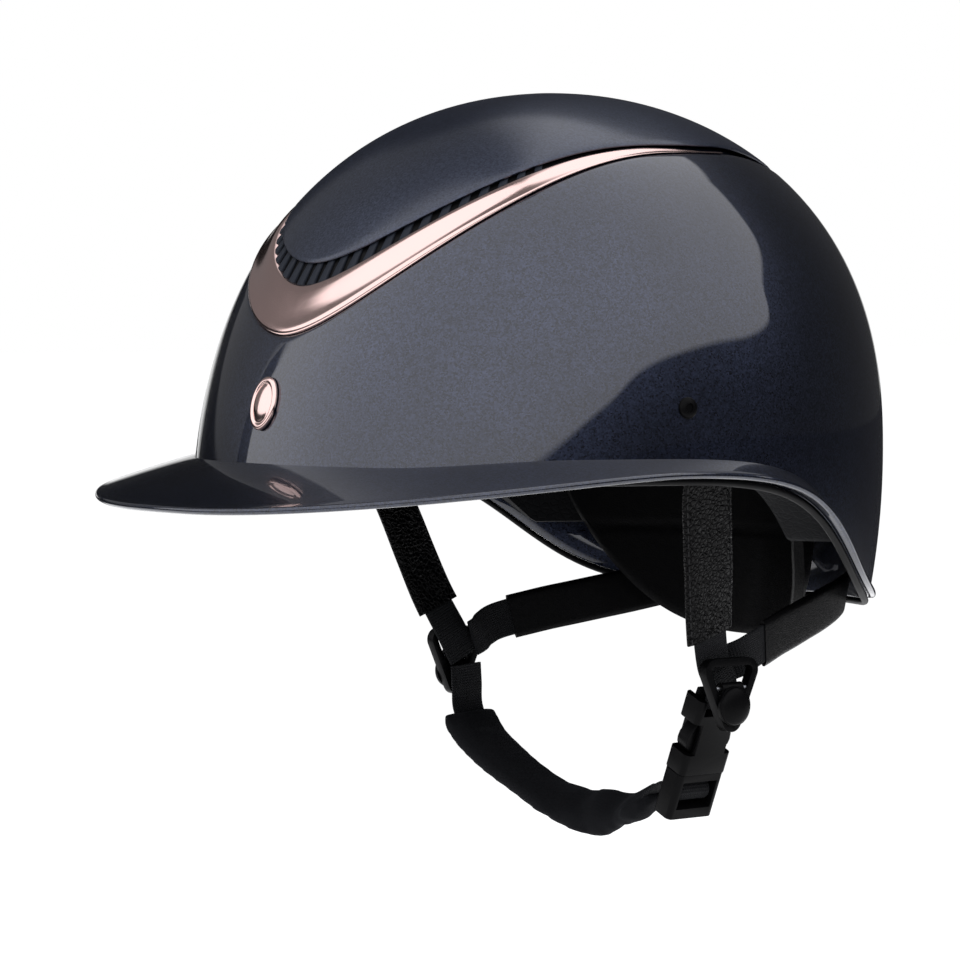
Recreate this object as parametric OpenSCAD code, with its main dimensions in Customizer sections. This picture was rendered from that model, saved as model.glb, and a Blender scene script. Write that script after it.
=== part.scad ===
// Equestrian riding helmet: bonded shell with a wide brim, an inlaid crown panel and vent trim,
// an impact liner with comfort padding, and a four-point harness with a side-release buckle.
// Millimetres, +Z up, -Y forward, +X the wearer's left. The origin is the head mount: the
// middle of the head opening, level with the seam between dome and brim.

/* [Shell] */
// Half width of the dome at the head opening
dome_half_w = 112; // [104:1:126]
// Reach of the forehead curve in front of the dome's middle
dome_front = 142; // [132:1:156]
// Reach of the back of the dome behind its middle
dome_rear = 136; // [126:1:150]
// Height of the crown above the seam
dome_h = 138; // [128:1:152]
// Distance of the dome's middle behind the head mount
dome_y = 7; // [0:1:14]
// Wall of the outer shell
shell_wall = 2.6; // [2:0.1:3.5]
// Depth of the recess that holds the crown panel, the trim and the vent grille
inlay_depth = 2.4; // [1.6:0.1:3]

/* [Brim] */
// How far the brim stands out at the front
brim_front = 43; // [30:1:52]
// How far the brim stands out over the ears
brim_side = 6; // [4:0.5:9]
// How far the front lip hangs below the seam
brim_dip = 17; // [10:1:22]
// Thickness of the brim at its lip
lip_t = 2.6; // [2:0.1:4]
// Height of the band where the brim is bonded to the dome
band_h = 6.8; // [5:0.1:9]
// How far the rear edge drops below the edge over the ears
nape_drop = 55; // [40:1:60]
// Radius of the piping on the lower edge
piping_r = 1.4; // [1:0.1:2]

/* [Crown inlay] */
// Height of the trim's lower edge at the front
trim_low = 45.5; // [40:0.5:52]
// Height of the trim at the front
trim_h = 18.5; // [12:0.5:22]
// Height of the vent slot at the front
vent_h = 8; // [5:0.5:10]
// Distance from one vent vane to the next
vane_pitch = 8; // [6:0.5:11]
// Width of a vent vane
vane_w = 4.6; // [3:0.2:5.6]

/* [Liner] */
// Thickness of the impact liner
liner_t = 18.5; // [14:0.5:22]
// Thickness of the headband and the nape pad
pad_t = 6; // [4:0.5:8]
// Thickness of the crown liner
crown_pad_t = 4; // [3:0.5:6]
// How far the nape pad hangs below the seam
nape_pad_low = 75; // [66:1:80]

/* [Harness] */
// Width of the webbing
web_w = 15; // [12:0.5:18]
// Thickness of the webbing
web_t = 1.5; // [1:0.1:2]
// Width of the leather sleeves on the front straps
front_sleeve_w = 21; // [19:0.5:24]
// Width of the leather sleeves on the rear straps
rear_sleeve_w = 18; // [17:0.5:20]
// Thickness of a sleeve over the webbing
sleeve_t = 4; // [3:0.2:5]
// Width of the chin pad
chin_pad_w = 27; // [23:0.5:32]
// Thickness of the chin pad
chin_pad_t = 9; // [7:0.5:11]

/* [Strap dividers] */
// Thickness of a divider frame
divider_t = 4; // [3:0.5:5]
// Half the distance between the divider's upper corners
divider_half_w = 8; // [7:0.5:10]
// Radius of the divider's corners
divider_corner = 4.7; // [4:0.1:6]
// Width of the rail round the divider
divider_rail = 2.8; // [2:0.1:3.4]
// Radius of the pin that carries the cam lever
cam_pin_r = 1; // [0.8:0.1:1.2]

/* [Buckle] */
// Width of the buckle
buckle_w = 22; // [20:0.5:26]
// Thickness of the buckle
buckle_t = 11; // [9.5:0.5:13]
// Length of the socket half
socket_len = 31; // [29:0.5:36]
// Length of the plug half outside the socket
plug_len = 19; // [17:0.5:22]
// Radius of the strap bar in the plug
strap_bar_r = 1.7; // [1.4:0.1:2]
// Radius of the knuckle at the foot of each prong
knuckle_r = 1.6; // [1.4:0.1:1.8]

/* [Fits] */
// Gap between fixed pieces that lie against each other
seat_gap = 0.3; // [0.2:0.05:0.4]
// Gap between the large curved skins of the shell, liner and pads
skin_gap = 0.9; // [0.6:0.05:0.95]
// Radial clearance of a turning fit
turn_gap = 0.06; // [0.03:0.01:0.1]
// Clearance of the plug in the socket
plug_gap = 0.35; // [0.25:0.05:0.5]

/* [Hidden] */
$fn = 40;

// --- Curves of the dome, by bearing: 0 is the front, 90 over the ear, 180 the back ---
// Bearings between rings of the large shells
bearing_step = 6;
// The forehead curve is centred this far below the seam
front_base = 48;
// Below the seam the wall tucks in by this much at the depth given here
tuck = 8;
tuck_depth = 70;
// The recess starts to show on the inside of the shell this far below the trim
step_run = 8;

function clamp(t) = min(max(t, 0), 1);
function ease(t) = let (u = clamp(t)) u * u * (3 - 2 * u);
function fold(a) = abs((a + 180) % 360 - 180);
function unit(v) = v / norm(v);

function dome_r(a, z, d = 0) =
    let (
        s = clamp(z / (dome_h - d)),
        sf = clamp((z + front_base) / (dome_h - d + front_base)),
        pull = tuck * (max(-z, 0) / tuck_depth) ^ 2,
        side = (dome_half_w - d) * sqrt(1 - s ^ 2.5) - pull,
        ahead = (dome_front - d) * (1 - sf ^ 2.2) ^ (1 / 2.2),
        behind = (dome_rear - d) * sqrt(1 - s ^ 2.35) - pull,
        front = cos(a) > 0,
        n = front ? 2.5 : 2
    )
    ((abs(sin(a)) / side) ^ n + (abs(cos(a)) / (front ? ahead : behind)) ^ n) ^ (-1 / n);
function dome(a, z, d = 0, out = 0) =
    let (r = dome_r(a, z, d) + out) [r * sin(a), dome_y - r * cos(a), z];
function dome_normal(a, z, d = 0) =
    unit(cross(dome(a + 1, z, d) - dome(a, z, d), dome(a, z + 1, d) - dome(a, z, d)));

// Lower edge and seam
function nape(a) = nape_drop / (1 + exp((120 - fold(a)) / 9.5));
function seam_z(a) =
    let (f = fold(a)) -0.5 + 2.9 * ease((f - 25) / 30) - nape(a) - 3.2 * ease((f - 100) / 35);
function rim_z(a) = let (f = fold(a)) -0.5 + 2.9 * ease((f - 25) / 30) - band_h - nape(a);
function lip_z(a) =
    let (f = fold(a), side = 2.4 - band_h) -brim_dip + (brim_dip + side) * ease((f - 5) / 70) - nape(a);
function lip_out(a) =
    let (f = fold(a))
    f < 92
        ? brim_side + (brim_front - brim_side) * cos(90 * f / 92) ^ 1.6
        : brim_side - 4 * ease((f - 92) / 40);

// Crown inlay: the trim's lower edge, the slot's lower edge and the crown panel's edge
trim_end = 113;
function back_dip(a) = 13 * ease((fold(a) - 115) / 65);
function trim_z(a) = trim_low + 68 * (1 - exp(-(fold(a) / 39) ^ 1.85)) - back_dip(a);
function slot_z(a) =
    let (low = trim_low + trim_h) low + (115.5 - low) * (1 - exp(-(fold(a) / 36.5) ^ 1.8)) - back_dip(a);
function panel_z(a) =
    let (low = trim_low + trim_h + vent_h)
    low + (116 - low) * (1 - exp(-(fold(a) / 37.2) ^ 1.9)) - back_dip(a);

// Depths below the dome's surface
function shell_inner(a, z) = shell_wall + inlay_depth * ease((z - trim_z(a) + step_run) / step_run);
washer_t = 0.6;
strap_channel = web_t + washer_t + 4 * seat_gap;
// The liner steps inward a little below the shell's own step
liner_step_lead = 5;
function liner_outer(a, z) =
    shell_inner(a, z + liner_step_lead) + skin_gap
        + strap_channel * ease((17 - abs(fold(a) - 80)) / 4) * ease((40 - z) / 6);
liner_inner = shell_wall + inlay_depth + liner_t;
pad_outer = liner_inner + skin_gap;
function liner_low(a) = max(rim_z(a) + 3.5, -32);
function band_low(a) = max(rim_z(a) + 3, -9);
band_top = 34;
crown_pad_low = 42;
nape_half = 50;
nape_pad_top = -9.4;
function nape_pad_z(psi) = -nape_pad_low + (nape_pad_low - 23) * (abs(psi) / 48) ^ 2.6;

bearings = [for (a = [0 : bearing_step : 359]) a];

// --- Skins: rings of equal point counts joined into one closed surface ---
// Each ring turns anticlockwise about the direction in which the rings follow each other.
module skin(rings, ends = "caps", poles = []) {
    n = len(rings);
    m = len(rings[0]);
    last = (n - 1) * m;
    sides = [
        for (i = [0 : ends == "loop" ? n - 1 : n - 2], j = [0 : m - 1])
            let (k = (i + 1) % n * m, next = (j + 1) % m, i0 = i * m + j, i1 = i * m + next)
            let (k0 = k + j, k1 = k + next)
            each [[i0, k1, i1], [i0, k0, k1]]
    ];
    caps = ends == "caps"
        ? [for (j = [1 : m - 2]) each [[0, j, j + 1], [last, last + j + 1, last + j]]]
        : ends == "poles"
        ? [for (j = [0 : m - 1]) each [[n * m, j, (j + 1) % m], [n * m + 1, last + (j + 1) % m, last + j]]]
        : [];
    polyhedron(
        points = concat([for (ring = rings) each ring], poles), faces = concat(sides, caps), convexity = 8
    );
}

// Heights from low to nearly the top of a dome, closer together towards the crown
function rise(low, top, i, n) = low + (top - low) * sin(90 * i / n);

// --- Straps: a route with the way each point of the webbing faces ---
function spline_at(p, i, t) =
    let (p0 = p[max(i - 1, 0)], p1 = p[i], p2 = p[i + 1], p3 = p[min(i + 2, len(p) - 1)])
    let (bend = 2 * p0 - 5 * p1 + 4 * p2 - p3, twist = 3 * p1 - p0 - 3 * p2 + p3)
    (2 * p1 + (p2 - p0) * t + bend * t ^ 2 + twist * t ^ 3) / 2;
function spline(p, k) =
    concat([for (i = [0 : len(p) - 2], s = [0 : k - 1]) spline_at(p, i, s / k)], [p[len(p) - 1]]);
function part_of(list, from, to) = [for (i = [from : to]) list[i]];
function along(p, i) = unit(p[min(i + 1, len(p) - 1)] - p[max(i - 1, 0)]);
// Section points [across, out] placed at station i of a route
function station(route, facing, i, section) =
    let (t = along(route, i), w = unit(cross(facing[i], t)), n = cross(t, w))
    [for (q = section) route[i] + q[0] * w + q[1] * n];
function flat_section(w, t) = [[-w / 2, -t / 2], [w / 2, -t / 2], [w / 2, t / 2], [-w / 2, t / 2]];
function soft_section(w, t) =
    let (c = t * 0.4)
    [
        [-w / 2 + c, -t / 2], [w / 2 - c, -t / 2], [w / 2, -t / 2 + c], [w / 2, t / 2 - c],
        [w / 2 - c, t / 2], [-w / 2 + c, t / 2], [-w / 2, t / 2 - c], [-w / 2, -t / 2 + c]
    ];

module webbing(route, facing) {
    skin([for (i = [0 : len(route) - 1]) station(route, facing, i, flat_section(web_w, web_t))]);
}

module sleeve(route, facing, w, t) {
    last = len(route) - 1;
    hole = soft_section(web_w + 4 * seat_gap, web_t + 2.6 * seat_gap);
    skin(
        concat(
            [for (i = [0 : last]) station(route, facing, i, soft_section(w, t))],
            [for (i = [last : -1 : 0]) station(route, facing, i, hole)]
        ),
        "loop"
    );
}

// --- Places on the harness (wearer's left) ---
divider_at = [85, 21.5, -87];
cam_pin_at = [0.6, 0, 2];
screw_at = [76, 20];
screw_head_r = 3.9;
anchor_bearing = 158.6;
anchor_z = -40;
mouth = [61.7, 25, -117.2];
buckle_tilt = 23;
socket_bar_z = socket_len - 1.5;
plug_bar_z = -9;
web_depth = shell_wall + 3 * seat_gap + web_t / 2 + 0.2;
anchor_t = 1.8;
anchor_depth = shell_wall + 1;

// A point of the buckle's own frame: out from the cheek, across, and up its axis from the socket's mouth
function on_buckle(x, y, z) =
    mouth + [x * cos(buckle_tilt) + z * sin(buckle_tilt), y, z * cos(buckle_tilt) - x * sin(buckle_tilt)];

front_hang = [
    dome(screw_at[0], screw_at[1] + 7, web_depth), dome(79, 12, web_depth), dome(82.5, 1, web_depth),
    [102, -3.8, -10], [96.5, 1.2, -26], [91.2, 6.2, -44], [86.2, 10.8, -60], [81.6, 16.4, -74],
    [80.8, 19.5, -80]
];
front_facing = [
    dome_normal(screw_at[0], screw_at[1] + 7), dome_normal(79, 12), [1, -0.15, -0.1],
    [0.97, -0.1, -0.3], [0.96, -0.08, -0.3], [0.96, -0.05, -0.3], [0.96, 0, -0.3],
    [0.98, 0.02, -0.2], [0.98, 0.02, -0.1]
];
socket_loop = [
    [79, 23, -85], on_buckle(3.2, -0.3, socket_bar_z + 1), on_buckle(2.3, 0, socket_bar_z - 2.2),
    on_buckle(0, 0, socket_bar_z - 3), on_buckle(-2.3, 0, socket_bar_z - 2.2),
    on_buckle(-2.9, 0, socket_bar_z + 0.4),
    on_buckle(-2.7, 0, socket_bar_z + 3.6)
];
socket_facing = [
    [1, 0, -0.1], on_buckle(1, 0, 0) - mouth, on_buckle(0.8, 0, -0.6) - mouth, on_buckle(0, 0, -1) - mouth,
    on_buckle(-0.8, 0, -0.6) - mouth, on_buckle(-1, 0, 0) - mouth, on_buckle(-1, 0, 0) - mouth
];
rear_run = [
    dome(anchor_bearing, anchor_z, anchor_depth + anchor_t + web_t / 2 + seat_gap),
    dome(anchor_bearing, anchor_z - 12, anchor_depth + anchor_t + web_t), [52.5, 107, -57], [63, 82, -62.5],
    [73, 57, -67.5], [79.2, 40, -71.5], [79.6, 32.5, -74.5], [77, 28, -76.5], [76.2, 24, -78]
];
rear_facing = [
    dome_normal(anchor_bearing, anchor_z), dome_normal(anchor_bearing, anchor_z - 8),
    [0.6, 0.6, -0.1], [0.8, 0.45, -0.1], [0.88, 0.36, -0.1], [0.96, 0.2, -0.1], [0.98, 0, -0.1],
    [0.98, -0.1, -0.1], [1, 0, 0]
];
chin_route = [
    [-79.5, 22.8, -88.8], [-79.6, 23.4, -97], [-79.6, 24.2, -107], [-71.5, 24.6, -117], [-51, 24, -127.2],
    [-24.5, 23.4, -136.4], [1, 23, -140.2], [23, 23.4, -137], [38.5, 24, -130],
    on_buckle(-8.7, -0.6, -10.9),
    on_buckle(-4.3, 0, -9.8), on_buckle(-2.3, 0, -7.4), on_buckle(0.5, 0, -6), on_buckle(2.9, 0, -8.4),
    on_buckle(2.1, 0, -11.4), on_buckle(-1.2, 0, -12.9), on_buckle(-6, 0, -13.2)
];
chin_facing = [
    [-1, 0, 0], [-1, 0, 0], [-0.95, 0, -0.3], [-0.65, 0, -0.75], [-0.4, 0, -0.9], [-0.25, 0, -0.97],
    [0, 0, -1], [0.3, 0, -0.95], [0.4, 0, -0.9], [0.2, 0, -1],
    on_buckle(-0.4, 0, 1) - mouth, on_buckle(-0.8, 0, 0.6) - mouth,
    on_buckle(0, 0, 1) - mouth, on_buckle(1, 0, 0) - mouth, on_buckle(0.6, 0, -0.8) - mouth,
    on_buckle(0.1, 0, -1) - mouth, on_buckle(0, 0, -1) - mouth
];
smoothness = 3;
front_route_left = spline(concat(front_hang, socket_loop), smoothness);
front_facing_left = spline(concat(front_facing, socket_facing), smoothness);
front_route_right = spline(concat(front_hang, [[79.7, 22.2, -85.5]]), smoothness);
front_facing_right = spline(concat(front_facing, [[1, 0, 0]]), smoothness);
rear_route = spline(rear_run, smoothness);
rear_face = spline(rear_facing, smoothness);
chin_path = spline(chin_route, smoothness);
chin_face = spline(chin_facing, smoothness);
// Stations of those routes that the sleeves and the chin pad cover
front_cover = [8, 19];
rear_cover = [5, 14];
chin_cover = [6, 25];

module frame_on(a, z, d) {
    // Stands children on the dome's surface with +Z along its outward normal
    n = dome_normal(a, z, d);
    translate(dome(a, z, d)) rotate([0, acos(n[2]), atan2(n[1], n[0])]) children();
}
module right_side() { mirror([1, 0, 0]) children(); }
module on_divider() { translate(divider_at) children(); }
module buckle_frame() { translate(mouth) rotate([0, buckle_tilt, 0]) children(); }
module rounded_plate(w, d, r) {
    // w along Y and d along X, centred
    square_r = min(r, d / 2 - 0.01);
    for (x = [-1, 1], y = [-1, 1])
        translate([x * (d / 2 - square_r), y * (w / 2 - square_r)]) circle(square_r);
    square([d, w - 2 * square_r], center = true);
    square([d - 2 * square_r, w], center = true);
}

// --- Shell ---
module outer_shell() {
    low_rows = 6;
    top_rows = 7;
    in_rows = 12;
    color("#2b3442") skin(
        concat(
            [
                for (i = [in_rows - 1 : -1 : 0]) [
                    for (a = bearings)
                        let (z = rise(rim_z(a), dome_h - shell_wall - inlay_depth, i, in_rows))
                        dome(a, z, shell_inner(a, z))
                ]
            ],
            [
                for (i = [0 : low_rows])
                    [for (a = bearings) dome(a, rim_z(a) + (trim_z(a) - rim_z(a)) * i / low_rows)]
            ],
            [
                for (i = [0 : top_rows - 1])
                    [for (a = bearings) dome(a, rise(trim_z(a) + 0.02, dome_h - inlay_depth, i, top_rows), inlay_depth)]
            ]
        ),
        "poles", [[0, dome_y, dome_h - shell_wall - inlay_depth], [0, dome_y, dome_h - inlay_depth]]
    );
}

module brim() {
    color("#2b3442") skin(
        [
            for (a = bearings)
                let (
                    o = lip_out(a), s = seam_z(a), r = rim_z(a), l = lip_z(a), g = 0.1,
                    round_in = min(1.1, o / 4), body = max(o - round_in, 0.5)
                )
                [
                    dome(a, r, 0, g), dome(a, s, 0, g),
                    dome(a, s, 0, o * 0.45) + [0, 0, (l + lip_t - s) * 0.5],
                    dome(a, s, 0, body) + [0, 0, l + lip_t - s],
                    dome(a, s, 0, o) + [0, 0, l + lip_t * 0.5 - s],
                    dome(a, s, 0, body) + [0, 0, l - s],
                    dome(a, s, 0, o * 0.45) + [0, 0, min(l + lip_t, r) * 0.55 + r * 0.45 - 0.2 - s]
                ]
        ],
        "loop"
    );
}

module crown_panel() {
    rows = 8;
    edge = 2.2;
    under = inlay_depth - skin_gap;
    color("#3a414e") skin(
        concat(
            [
                for (i = [rows - 1 : -1 : 0])
                    [for (a = bearings) dome(a, rise(panel_z(a), dome_h - under, i, rows), under)]
            ],
            [[for (a = bearings) dome(a, panel_z(a) + 0.3, 1)]],
            [
                for (i = [0 : rows - 1])
                    [for (a = bearings) dome(a, rise(panel_z(a) + edge, dome_h, i, rows), 0)]
            ]
        ),
        "poles", [[0, dome_y, dome_h - under], [0, dome_y, dome_h]]
    );
}

module trim() {
    span = [for (a = [-trim_end : 4 : trim_end + 0.1]) a];
    under = inlay_depth - seat_gap;
    color("#c8958a") skin(
        [
            for (a = concat(span, [trim_end]))
                let (
                    low = trim_z(a) + 0.3,
                    high = low + max((slot_z(a) - low) * ease((trim_end + 3 - fold(a)) / 40), 0.7),
                    w = high - low, proud = min(0.9, w / 6)
                )
                [
                    dome(a, low, under), dome(a, low, 0.2), dome(a, low + w * 0.16, -proud),
                    dome(a, low + w * 0.4, -proud * 0.5), dome(a, high, 0.5), dome(a, high, under)
                ]
        ]
    );
}

module vent_grille() {
    top_pitch = vane_pitch / dome_front * 180 / PI;
    half_turn = vane_w / dome_front * 90 / PI;
    color("#4d5462") for (k = [-14 : 13]) {
        a = (k + 0.5) * top_pitch * (1 + 0.004 * abs(k) ^ 1.2);
        if (panel_z(a) - slot_z(a) > 1.6)
            skin([
                for (side = [-half_turn, half_turn])
                    let (low = slot_z(a + side) + 0.35, high = panel_z(a + side) - 0.15)
                    [
                        dome(a + side, low, inlay_depth - seat_gap), dome(a + side, low, 0.9),
                        dome(a + side, high, 1.1), dome(a + side, high, inlay_depth - seat_gap)
                    ]
            ]);
    }
}

module front_badge() {
    // A plain raised oval stud
    tall = 20;
    wide = 15;
    color("#c8958a") frame_on(0, 21, -0.35) {
        linear_extrude(1.4) polygon([for (t = [0 : 10 : 359]) [tall / 2 * cos(t), wide / 2 * sin(t)]]);
        linear_extrude(2.4) polygon([for (t = [0 : 10 : 359]) [tall * 0.36 * cos(t), wide * 0.36 * sin(t)]]);
    }
}

module edge_piping() {
    color("#17181b") skin(
        [
            for (a = bearings)
                [
                    for (t = [0 : 60 : 359])
                        dome(a, rim_z(a) - piping_r - 0.05, 0, -shell_wall / 2 + piping_r * cos(t))
                            - [0, 0, piping_r * sin(t)]
                ]
        ],
        "loop"
    );
}

// --- Liner ---
module impact_liner() {
    rows = 9;
    top = dome_h - shell_wall - inlay_depth - skin_gap;
    color("#202226") skin(
        concat(
            [
                for (i = [rows - 1 : -1 : 0])
                    [for (a = bearings) dome(a, rise(liner_low(a), dome_h - liner_inner, i, rows), liner_inner)]
            ],
            [
                for (i = [0 : rows + 1]) [
                    for (a = bearings)
                        let (z = rise(liner_low(a), top, i, rows + 2))
                        dome(a, z, liner_outer(a, z))
                ]
            ]
        ),
        "poles", [[0, dome_y, dome_h - liner_inner], [0, dome_y, top]]
    );
}

module headband() {
    inner = pad_outer + pad_t;
    color("#1a1b1e") skin(
        [
            for (a = bearings)
                let (low = band_low(a), mid = (low + band_top) / 2)
                [
                    dome(a, low, pad_outer), dome(a, mid, pad_outer), dome(a, (mid + band_top) / 2, pad_outer),
                    dome(a, band_top, pad_outer), dome(a, band_top - 2, inner - 1),
                    dome(a, (mid + band_top) / 2, inner), dome(a, mid, inner), dome(a, low + 2, inner - 1)
                ]
        ],
        "loop"
    );
}

module crown_liner() {
    rows = 7;
    inner = pad_outer + crown_pad_t;
    color("#1a1b1e") skin(
        concat(
            [
                for (i = [rows - 1 : -1 : 0])
                    [for (a = bearings) dome(a, rise(crown_pad_low + 1.5, dome_h - inner, i, rows), inner)]
            ],
            [
                for (i = [0 : rows - 1])
                    [for (a = bearings) dome(a, rise(crown_pad_low, dome_h - pad_outer, i, rows), pad_outer)]
            ]
        ),
        "poles", [[0, dome_y, dome_h - inner], [0, dome_y, dome_h - pad_outer]]
    );
}

module nape_pad() {
    inner = pad_outer + pad_t;
    color("#151618") skin([
        for (psi = [-nape_half : 5 : nape_half])
            let (a = 180 + psi, low = nape_pad_z(psi), mid = (low + nape_pad_top) / 2)
            [
                dome(a, low, pad_outer + 1), dome(a, mid, pad_outer), dome(a, nape_pad_top, pad_outer),
                dome(a, nape_pad_top - 1, inner - 1), dome(a, mid, inner), dome(a, low + 1, inner - 1)
            ]
    ]);
}

// --- Strap anchors ---
module side_screw() {
    dome_h_head = 1.5;
    big_r = (screw_head_r ^ 2 + dome_h_head ^ 2) / (2 * dome_h_head);
    color("#121316") frame_on(screw_at[0], screw_at[1], 0) {
        intersection() {
            translate([0, 0, dome_h_head - big_r]) sphere(big_r);
            translate([0, 0, 0.1]) cylinder(r = screw_head_r, h = dome_h_head);
        }
        translate([0, 0, -shell_wall - 0.2]) cylinder(r = 1.6, h = shell_wall + 0.6);
    }
}
module side_screws() {
    side_screw();
    right_side() side_screw();
}

module front_anchor() {
    color("#8d9095") frame_on(screw_at[0], screw_at[1], web_depth + web_t / 2 + seat_gap)
        translate([0, 0, -washer_t]) difference() {
            cylinder(r = 4.5, h = washer_t);
            translate([0, 0, -0.1]) cylinder(r = 1.6, h = 1);
        }
}
module front_anchors() {
    front_anchor();
    right_side() front_anchor();
}

module rear_anchor() {
    color("#17181b") frame_on(anchor_bearing, anchor_z, anchor_depth) translate([0, 0, -anchor_t])
        difference() {
            linear_extrude(anchor_t) rounded_plate(web_w + 1, 12, 2);
            for (y = [-1, 1]) translate([-3, y * web_w / 4, -0.1]) cylinder(r = 1.2, h = anchor_t + 0.2);
        }
}
module rear_anchors() {
    rear_anchor();
    right_side() rear_anchor();
}

// --- Straps ---
module front_strap_left() { color("#1b1c1f") webbing(front_route_left, front_facing_left); }
module front_strap_right() { color("#1b1c1f") right_side() webbing(front_route_right, front_facing_right); }
module front_sleeve() {
    color("#222327") sleeve(
        part_of(front_route_right, front_cover[0], front_cover[1]),
        part_of(front_facing_right, front_cover[0], front_cover[1]), front_sleeve_w, sleeve_t
    );
}
module front_sleeve_left() { front_sleeve(); }
module front_sleeve_right() { right_side() front_sleeve(); }
module rear_strap_left() { color("#1b1c1f") webbing(rear_route, rear_face); }
module rear_strap_right() { right_side() rear_strap_left(); }
module rear_sleeve() {
    color("#222327") sleeve(
        part_of(rear_route, rear_cover[0], rear_cover[1]), part_of(rear_face, rear_cover[0], rear_cover[1]),
        rear_sleeve_w, sleeve_t
    );
}
module rear_sleeve_left() { rear_sleeve(); }
module rear_sleeve_right() { right_side() rear_sleeve(); }
module chin_strap() { color("#1b1c1f") webbing(chin_path, chin_face); }
module chin_pad() {
    color("#1e1f22") sleeve(
        part_of(chin_path, chin_cover[0], chin_cover[1]), part_of(chin_face, chin_cover[0], chin_cover[1]),
        chin_pad_w, chin_pad_t
    );
}

// --- Strap dividers: a three-cornered frame, its pin and the cam lever ---
module divider_outline(r) {
    hull() {
        for (y = [-1, 1]) translate([8.5, y * divider_half_w]) circle(r);
        translate([-9.5, 0]) circle(r);
    }
}
module divider_frame() {
    color("#17181b") on_divider() difference() {
        // Sketch X is up and sketch Y is across
        rotate([0, -90, 0]) translate([0, 0, -divider_t / 2]) linear_extrude(divider_t) difference() {
            divider_outline(divider_corner);
            divider_outline(divider_corner - divider_rail);
        }
        translate(cam_pin_at) rotate([90, 0, 0]) cylinder(r = cam_pin_r, h = 2 * pin_half, center = true);
    }
}
pin_half = divider_half_w + 0.6;
knuckle_half = 5;
cam_knuckle_r = cam_pin_r + 1.3;
cam_plate_t = 1.5;
cam_face_r = 7.4;
cam_face_rise = 2.2;
cam_face_drop = 4.4;
cam_shoulder_r = 1.2;
module divider_pin() {
    color("#8d9095") on_divider() translate(cam_pin_at) rotate([90, 0, 0])
        cylinder(r = cam_pin_r - 0.01, h = 2 * pin_half - 0.1, center = true);
}
module divider_cam() {
    face = divider_t / 2 + seat_gap;
    color("#1c1d20") on_divider() difference() {
        union() {
            translate(cam_pin_at) rotate([90, 0, 0])
                cylinder(r = cam_knuckle_r, h = 2 * knuckle_half, center = true);
            translate([face, 0, 0]) rotate([0, 90, 0]) {
                linear_extrude(cam_plate_t) hull() {
                    translate([cam_face_drop, 0]) circle(cam_face_r);
                    for (y = [-1, 1])
                        translate([cam_shoulder_r - cam_pin_at[2] - 0.3, y * (knuckle_half - cam_shoulder_r)])
                            circle(cam_shoulder_r);
                }
                translate([cam_face_drop, 0, cam_plate_t]) rotate_extrude() polygon(concat(
                    [[0, 0]],
                    [for (t = [0 : 10 : 90]) [(cam_face_r - 0.3) * cos(t), cam_face_rise * sin(t)]]
                ));
            }
        }
        translate(cam_pin_at) rotate([90, 0, 0]) cylinder(r = cam_pin_r + turn_gap, h = 30, center = true);
    }
}
module divider_frame_left() { divider_frame(); }
module divider_frame_right() { right_side() divider_frame(); }
module divider_pin_left() { divider_pin(); }
module divider_pin_right() { right_side() divider_pin(); }
module divider_cam_left() { divider_cam(); }
module divider_cam_right() { right_side() divider_cam(); }

// --- Side-release buckle, in its own frame: X out from the cheek, Y across, Z up its axis ---
buckle_corner = 2.4;
cavity_half_w = buckle_w / 2 - 2.8;
cavity_half_t = buckle_t / 2 - 2.3;
cavity_top = 22.5;
window_low = 8.5;
window_top = 21.5;
collar_top = 25;
bar_t = 3.4;
prong_y = 4.6;
prong_z = 2.2;
prong_half_t = cavity_half_t - plug_gap;

module buckle_socket() {
    color("#17181b") buckle_frame() difference() {
        linear_extrude(socket_len) rounded_plate(buckle_w, buckle_t, buckle_corner);
        translate([-cavity_half_t, -cavity_half_w, -1]) cube([2 * cavity_half_t, 2 * cavity_half_w, cavity_top + 1]);
        for (y = [-1, 1]) translate([-buckle_t, y * (cavity_half_w - 1 + 5) - 5, window_low])
            cube([2 * buckle_t, 10, window_top - window_low]);
        // Slot under the strap bar, and the relief in front of and behind the bar
        translate([-buckle_t, -web_w / 2 - 0.7, collar_top]) cube([2 * buckle_t, web_w + 1.4, 3]);
        for (x = [-1, 1]) translate([x * (bar_t / 2 + 5) - 5, -web_w / 2 - 0.7, collar_top])
            cube([10, web_w + 1.4, socket_len]);
    }
}

module buckle_plug() {
    frame_t = buckle_t - 1;
    window_half = web_w / 2 + 0.7;
    tongue_half = cavity_half_w - plug_gap;
    color("#17181b") buckle_frame() difference() {
        union() {
            translate([0, 0, -plug_len]) linear_extrude(plug_len - seat_gap)
                rounded_plate(buckle_w, frame_t, buckle_corner);
            translate([-prong_half_t, -tongue_half, -1]) cube([2 * prong_half_t, 2 * tongue_half, 4.2]);
            translate([-1.8, -1.3, 0]) cube([3.6, 2.6, 12]);
        }
        difference() {
            translate([-buckle_t, -window_half, -plug_len + 4.2]) cube([2 * buckle_t, 2 * window_half, plug_len - 7.6]);
            translate([0, 0, plug_bar_z]) rotate([90, 0, 0]) cylinder(r = strap_bar_r, h = 40, center = true);
        }
        for (y = [-1, 1]) translate([0, y * prong_y, prong_z]) rotate([0, 90, 0])
            cylinder(r = knuckle_r + turn_gap, h = 30, center = true);
    }
}

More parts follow.
